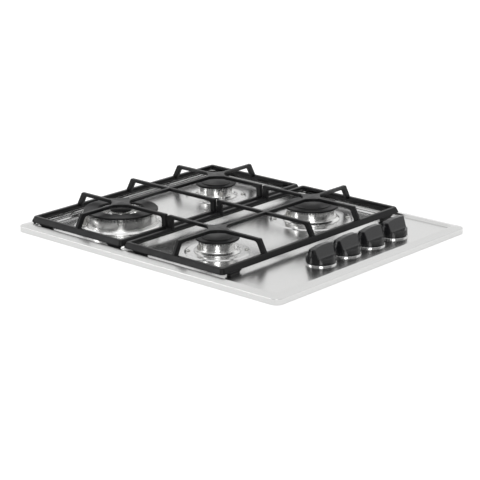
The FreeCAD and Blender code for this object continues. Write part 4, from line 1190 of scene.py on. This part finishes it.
@dataclass
class TripleBurner(Burner):
    """The wide burner: an outer and an inner flame under a ring cap and a small lid."""

    skirt: float = 3.5
    inner_wall: float = 38.5
    inner_crown: float = 32.5
    inner_lid: float = 18.5
    inner_ports: int = 24
    neck: float = 16.5
    inner_top: float = WORKTOP + 34.0
    port_angle: float = 311.5
    port_radius: float = 3.0
    port_rise: float = 13.5

    def build(self) -> None:
        """Add the small lid to what every burner has."""
        super().build()
        top, room, edge = self.inner_top, self.neck - 2.8, self.inner_lid
        self.shop.add(even_out(lathe("inner_cap", [
            (0.0, top, 0.0), (room - 2.0, top, 0.2), (room - 2.0, top - 2.0, 0.3), (room, top - 2.0, 0.3),
            (room, top, 0.2), (edge, top, 0.9), (edge, top + 2.9, 1.2), (9.0, top + 3.3, 6.0),
            (0.0, top + 3.3, 0.0),
        ], self.centre, smooth=SMOOTHER)), "inner_cap_front_left")

    def _middle(self, wall_in: float, ceiling: float) -> list[Corner]:
        """The channel, the inner flame ring and its sloping cone."""
        floor, inner, neck, top = ceiling + self.wall, self.inner_wall, self.neck, self.inner_top
        return [
            (wall_in, floor, 1.0), (inner + self.wall, floor, 1.0), (inner + self.wall, self.top, 0.4),
            (inner, self.top, 0.4), (inner, floor + 1.0, 0.8), (self.inner_crown, floor + 1.0, 0.8),
            (self.inner_crown, ceiling + 8.0, 1.5), (neck, top - 3.0, 1.0), (neck, top, 0.3),
            (neck - 2.5, top, 0.3), (neck - 2.5, floor, 0.5), (self.throat[0], floor, 0.5),
        ]

    def _extra_cuts(self) -> list[Piece]:
        """The inner flame's ports and the round port in the outer wall."""
        low = self.inner_top - 2.0
        inner = self._slots(self.neck - 3.5, self.neck + 1.0, low, self.inner_ports, 4.0)
        outline = circle((0.0, 0.0), self.port_radius, 32)
        port = slab("port", outline, 16.0, 0.01, Plane.ALONG_Y, 0.0, steps=1)
        place = Vector((*self.at(self.crown, self.port_angle), self.seat + self.port_rise)) * MM
        turn = Matrix.Rotation(math.radians(self.port_angle), 4, "Z")
        port.data.transform(Matrix.Translation(place) @ turn)
        return [inner, port]

    def _lid(self) -> Piece:
        """Enamelled ring over the outer flame, with a locating rib at each edge."""
        edge, inside, low, inner = self.cap, self.crown - self.wall - FIT, self.top, self.inner_wall
        high, rib = low + self.cap_thick, inner + self.wall + FIT
        return even_out(lathe("cap_" + self.place, [
            (inner - 0.5, low, 0.3), (rib, low, 0.0), (rib, low - 2.0, 0.3), (rib + 2.5, low - 2.0, 0.3),
            (rib + 2.5, low, 0.3), (inside - 2.5, low, 0.3), (inside - 2.5, low - 2.0, 0.3),
            (inside, low - 2.0, 0.3), (inside, low, 0.0), (edge, low, 1.3), (edge, high - 0.35, 1.5),
            (edge - 3.2, high, 2.0), (inner + 2.0, high, 1.2), (inner - 0.5, high - 1.4, 1.0),
        ], self.centre, arc=3, closed=True, smooth=SMOOTHER))


def load_burners(shop: Workshop) -> list[Burner]:
    """The four burners."""
    return [
        TripleBurner(shop, "front_left", 84.0, 72, 240.0, 75.0),
        Burner(shop, "rear_left", 55.0, 40, 330.0, 48.5),
        Burner(shop, "front_right", 55.0, 40, 245.0, 48.5),
        Burner(shop, "rear_right", 72.0, 54, 236.0, 64.0),
    ]


@dataclass
class BurnerFittings:
    """Screws and electrodes beside the burners."""

    shop: Workshop
    burners: Sequence[Burner]
    head: float = 3.5
    cross: Flat = (3.6, 0.8)
    bore: float = 1.05
    stem: float = 2.6
    collar: float = 3.4
    sleeve: float = 3.15

    def build(self) -> None:
        """Make and dress the screws and the ceramic bodies."""
        screws = [self._screw(place) for burner in self.burners for place in burner.screw_places()]
        self.shop.add(joined("burner_screw_heads", screws), "burner_screws")
        ceramics = [self._ceramic(burner) for burner in self.burners]
        self.shop.add(joined("electrode_ceramics", ceramics), "electrode_insulators")

    def _screw(self, place: Flat) -> Piece:
        """Pan-head screw with a cross recess."""
        low, base, (long, wide) = PLATEAU - 7.8, PLATEAU, self.cross
        screw = lathe("screw", [
            (0.0, low, 0.0), (2.0, low, 0.4), (2.0, base, 0.0), (self.head, base, 0.25),
            (self.head, base + 1.2, 0.7), (1.6, base + 2.2, 1.5), (0.0, base + 2.25, 0.0),
        ], place, arc=3, steps=32)
        bars = [
            block("recess", place, (*size, 2.4), base + 2.4, 0.15, 0.05, (2, 1))
            for size in ((long, wide), (wide, long))
        ]
        return combine(screw, bars, "DIFFERENCE")

    def _ceramic(self, burner: Burner) -> Piece:
        """Ribbed ceramic sleeve round the spark rod."""
        under, tip = SHEET_UNDER, burner.top - 2.5
        return lathe("ceramic", [
            (self.bore, under - 14.0, 0.2), (self.stem, under - 14.0, 0.4), (self.stem, under - 4.0, 0.0),
            (self.collar, under - 4.0, 0.2), (self.collar, under - 3.0, 0.1), (self.sleeve, under - 3.0, 0.0),
            (self.sleeve, tip - 6.5, 0.8), (1.9, tip - 4.0, 0.5), (self.bore, tip - 4.0, 0.1),
        ], burner.spark_place(), arc=3, steps=28, closed=True)


# --- Knobs -----------------------------------------------------------------
@dataclass
class Knob:
    """Round tapered knob scooped to a grip, its bright ring and the spring under it."""

    shop: Workshop
    number: int
    radius: float = 24.7
    waist: float = 24.3
    crest: float = 23.2
    low: float = PANEL + 3.0
    shoulder: float = PANEL + 13.0
    top: float = PANEL + 31.0
    socket: float = 7.0
    rim: float = 2.5
    foot_half: float = 11.7
    lean: float = 0.4
    bore: float = 4.0
    wire: float = 0.6
    coil: float = 5.3
    turns: float = 4.5
    ring: tuple[float, float, float] = (25.1, 26.2, 2.0)
    centre: Flat = field(init=False)

    def __post_init__(self) -> None:
        """Read the knob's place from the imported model."""
        self.centre = tuple(centre_of(f"knob_{self.number}"))[:2]

    def build(self) -> None:
        """Make and dress the knob and its spring."""
        self.shop.add(self._handle(), f"knob_{self.number}")
        self._spring()

    def _handle(self) -> Piece:
        """Tapered round body, kept only where the scooped bar is."""
        roof, inner, over = self.low + 4.0, self.radius - self.rim, self.top + 1.0
        body = lathe(f"knob_handle_{self.number}", [
            (0.0, self.low, 0.0), (self.socket, self.low, 0.4), (self.socket, roof, 0.6),
            (inner, roof, 0.6), (inner, self.low, 0.3), (self.radius, self.low, 0.5),
            (self.waist, self.shoulder, 8.0), (self.crest, over, 0.0), (0.0, over, 0.0),
        ], self.centre, smooth=SMOOTHER)
        combine(body, [self._scooped()], "INTERSECT", SMOOTHER)
        soften(body, 0.7)
        hole = post(self.centre, self.bore, self.low - 1.0, self.top - 7.95, 40)
        combine(body, [hole], "DIFFERENCE", SMOOTHER)
        return even_out(body)

    def _scooped(self) -> Piece:
        """Bar along the grip: a narrow crest that arches, and a hollow on each side of it."""
        (x, y), reach, top, foot = self.centre, self.radius + 2.0, self.top, self.shoulder
        crest = round_corners([
            (-reach, top - 7.0, 0.0), (-22.2, top - 3.6, 6.0), (-12.0, top - 1.2, 14.0), (0.0, top, 20.0),
            (17.0, top - 0.2, 10.0), (22.2, top - 1.0, 4.0), (reach, top - 3.0, 0.0),
        ], closed=False, steps=3)
        shape = Shape()
        rings = []
        for along, level in crest:
            half = self.foot_half - self.lean * (level - foot)
            side = [
                (reach, self.low - 1.0, 0.0), (reach, foot, 0.0), (self.foot_half, foot, 4.0),
                (half, level, 1.3),
            ]
            outline = round_corners(side + [(-u, v, radius) for u, v, radius in reversed(side)], steps=5)
            rings.append(shape.points([(x + u, y + along, v) for u, v in outline]))
        shape.tube(rings)
        return shape.finish("scooped_bar", SMOOTHER)

    def _spring(self) -> None:
        """Coil in place of the plain sleeve."""
        node = f"return_spring_{self.number}"
        (x, y), wire, steps, sides = self.centre, self.wire, 150, 8
        low, high = (corner.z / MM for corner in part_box(node))
        shape = Shape()
        rings = []
        for step in range(steps + 1):
            turn = 2 * math.pi * self.turns * step / steps
            level = low + wire + (high - low - 2 * wire) * step / steps
            section = circle((self.coil, level), wire, sides)
            rings.append(shape.points([
                (x + radius * math.cos(turn), y + radius * math.sin(turn), height)
                for radius, height in section
            ]))
        shape.tube(rings)
        piece = shape.finish(f"coil_{self.number}", SMOOTHEST)
        self.shop.add(piece, node)
        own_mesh(piece)

    def bezel(self) -> Piece:
        """Bright ring on the top about the knob."""
        inner, outer, tall = self.ring
        return lathe("ring", [
            (inner, PANEL, 0.0), (outer, PANEL, 0.0),
            (outer, PANEL + tall, 0.55), (inner, PANEL + tall, 0.45),
        ], self.centre, closed=True, smooth=SMOOTHEST)


# --- Stage -----------------------------------------------------------------
@dataclass
class Studio:
    """Pale worktop round the hob, surroundings with their lamps, and the camera."""

    cutout: Flat = (560.0, 480.0)
    reach: float = 12000.0
    lit_tone: float = 0.86
    lit_roughness: float = 0.7
    matt_tone: float = 0.5
    glow: float = 0.62
    dark: float = 0.22
    dark_spread: float = 84.0
    lamps: tuple[tuple[float, ...], ...] = (
        (41.56, 10.0, 12.0, 38.0, 5.5), (-41.0, 6.5, 6.0, 27.0, 4.2),
    )
    focal: float = 1719.14
    azimuth: float = 41.56
    elevation: float = 17.25
    roll: float = 0.15
    distance: float = 2961.03
    offset: Flat = (0.89, -8.17)
    frame_pixels: float = 480.0
    film: float = 36.0

    def build(self) -> None:
        """Set up everything round the object."""
        self.worktop()
        self.surroundings()
        self.camera()

    def worktop(self) -> None:
        """A level sheet with the cut-out that the hob is let into."""
        shape = Shape()
        outer, inner = (
            shape.ring([(-x, -y), (x, -y), (x, y), (-x, y)], WORKTOP)
            for x, y in ((self.reach / 2, self.reach / 2), (self.cutout[0] / 2, self.cutout[1] / 2))
        )
        shape.strip(outer, inner)
        floor = shape.finish("worktop")
        floor.data.materials.append(self._pale())

    def _pale(self) -> bpy.types.Material:
        """Worktop finish: lit in full by the room, and of one even tone to the eye and in reflections."""
        material = bpy.data.materials.new("pale_worktop")
        material.use_nodes = True
        nodes = Nodes(material.node_tree)
        lit = nodes.tree.nodes["Principled BSDF"]
        nodes.feed(lit, {"Base Color": (*[self.lit_tone] * 3, 1.0), "Roughness": self.lit_roughness})
        matt = nodes.add("BsdfDiffuse", {"Color": (*[self.matt_tone] * 3, 1.0)})
        glow = nodes.add("Emission", {"Strength": self.glow})
        seen = nodes.add("AddShader", {0: matt.outputs["BSDF"], 1: glow.outputs["Emission"]})
        path = nodes.add("LightPath").outputs
        ray = path["Is Camera Ray"]
        for kind in ("Is Glossy Ray", "Is Transmission Ray"):
            ray = nodes.math("MAXIMUM", ray, path[kind])
        mix = nodes.add("MixShader", {"Fac": ray, 1: lit.outputs["BSDF"], 2: seen.outputs["Shader"]})
        nodes.feed(nodes.tree.nodes["Material Output"], {"Surface": mix.outputs["Shader"]})
        return material

    def surroundings(self) -> None:
        """White room behind and beside the hob, a dark one before it with two tall lamps."""
        world = bpy.data.worlds.new("surroundings")
        bpy.context.scene.world = world
        world.use_nodes = True
        nodes = Nodes(world.node_tree)
        sky = nodes.group(Sky(self.dark, self.azimuth, self.dark_spread, self.lamps).tree)
        background = nodes.tree.nodes["Background"]
        nodes.feed(background, {"Color": (1.0, 1.0, 1.0, 1.0), "Strength": sky["Level"]})

    def camera(self) -> None:
        """The camera at the photograph's viewing angle."""
        data = bpy.data.cameras.new("view")
        data.lens = self.film * self.focal / self.frame_pixels
        data.sensor_width = self.film
        data.sensor_fit = "HORIZONTAL"
        data.shift_x = -self.offset[0] / self.frame_pixels
        data.shift_y = self.offset[1] / self.frame_pixels
        view = bpy.data.objects.new("view", data)
        bpy.context.scene.collection.objects.link(view)
        azimuth, elevation = math.radians(self.azimuth), math.radians(self.elevation)
        back = Vector((
            math.sin(azimuth) * math.cos(elevation),
            -math.cos(azimuth) * math.cos(elevation),
            math.sin(elevation),
        ))
        view.location = Vector((0.0, 0.0, WORKTOP * MM)) + back * self.distance * MM
        upright = Euler((math.pi / 2 - elevation, 0.0, azimuth))
        tilt = Euler((0.0, 0.0, math.radians(-self.roll)))
        view.rotation_euler = (upright.to_matrix() @ tilt.to_matrix()).to_euler()
        bpy.context.scene.camera = view


def main() -> None:
    """Build the dressed cooktop in order and report each piece."""
    logging.basicConfig(level=logging.INFO, format="%(name)s: %(message)s")
    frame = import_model()
    shop = Workshop(frame)
    shop.dress_nodes()
    burners = load_burners(shop)
    knobs = [Knob(shop, number) for number in range(1, 5)]
    SteelTop(shop, burners, [knob.centre for knob in knobs]).build()
    for piece in [*load_grates(shop, burners), *burners, BurnerFittings(shop, burners), *knobs]:
        piece.build()
    shop.add(joined("bright_rings", [knob.bezel() for knob in knobs]), "knob_bezels")
    Studio().build()
    bpy.context.scene.view_settings.view_transform = "Standard"


if __name__ == "__main__":
    main()
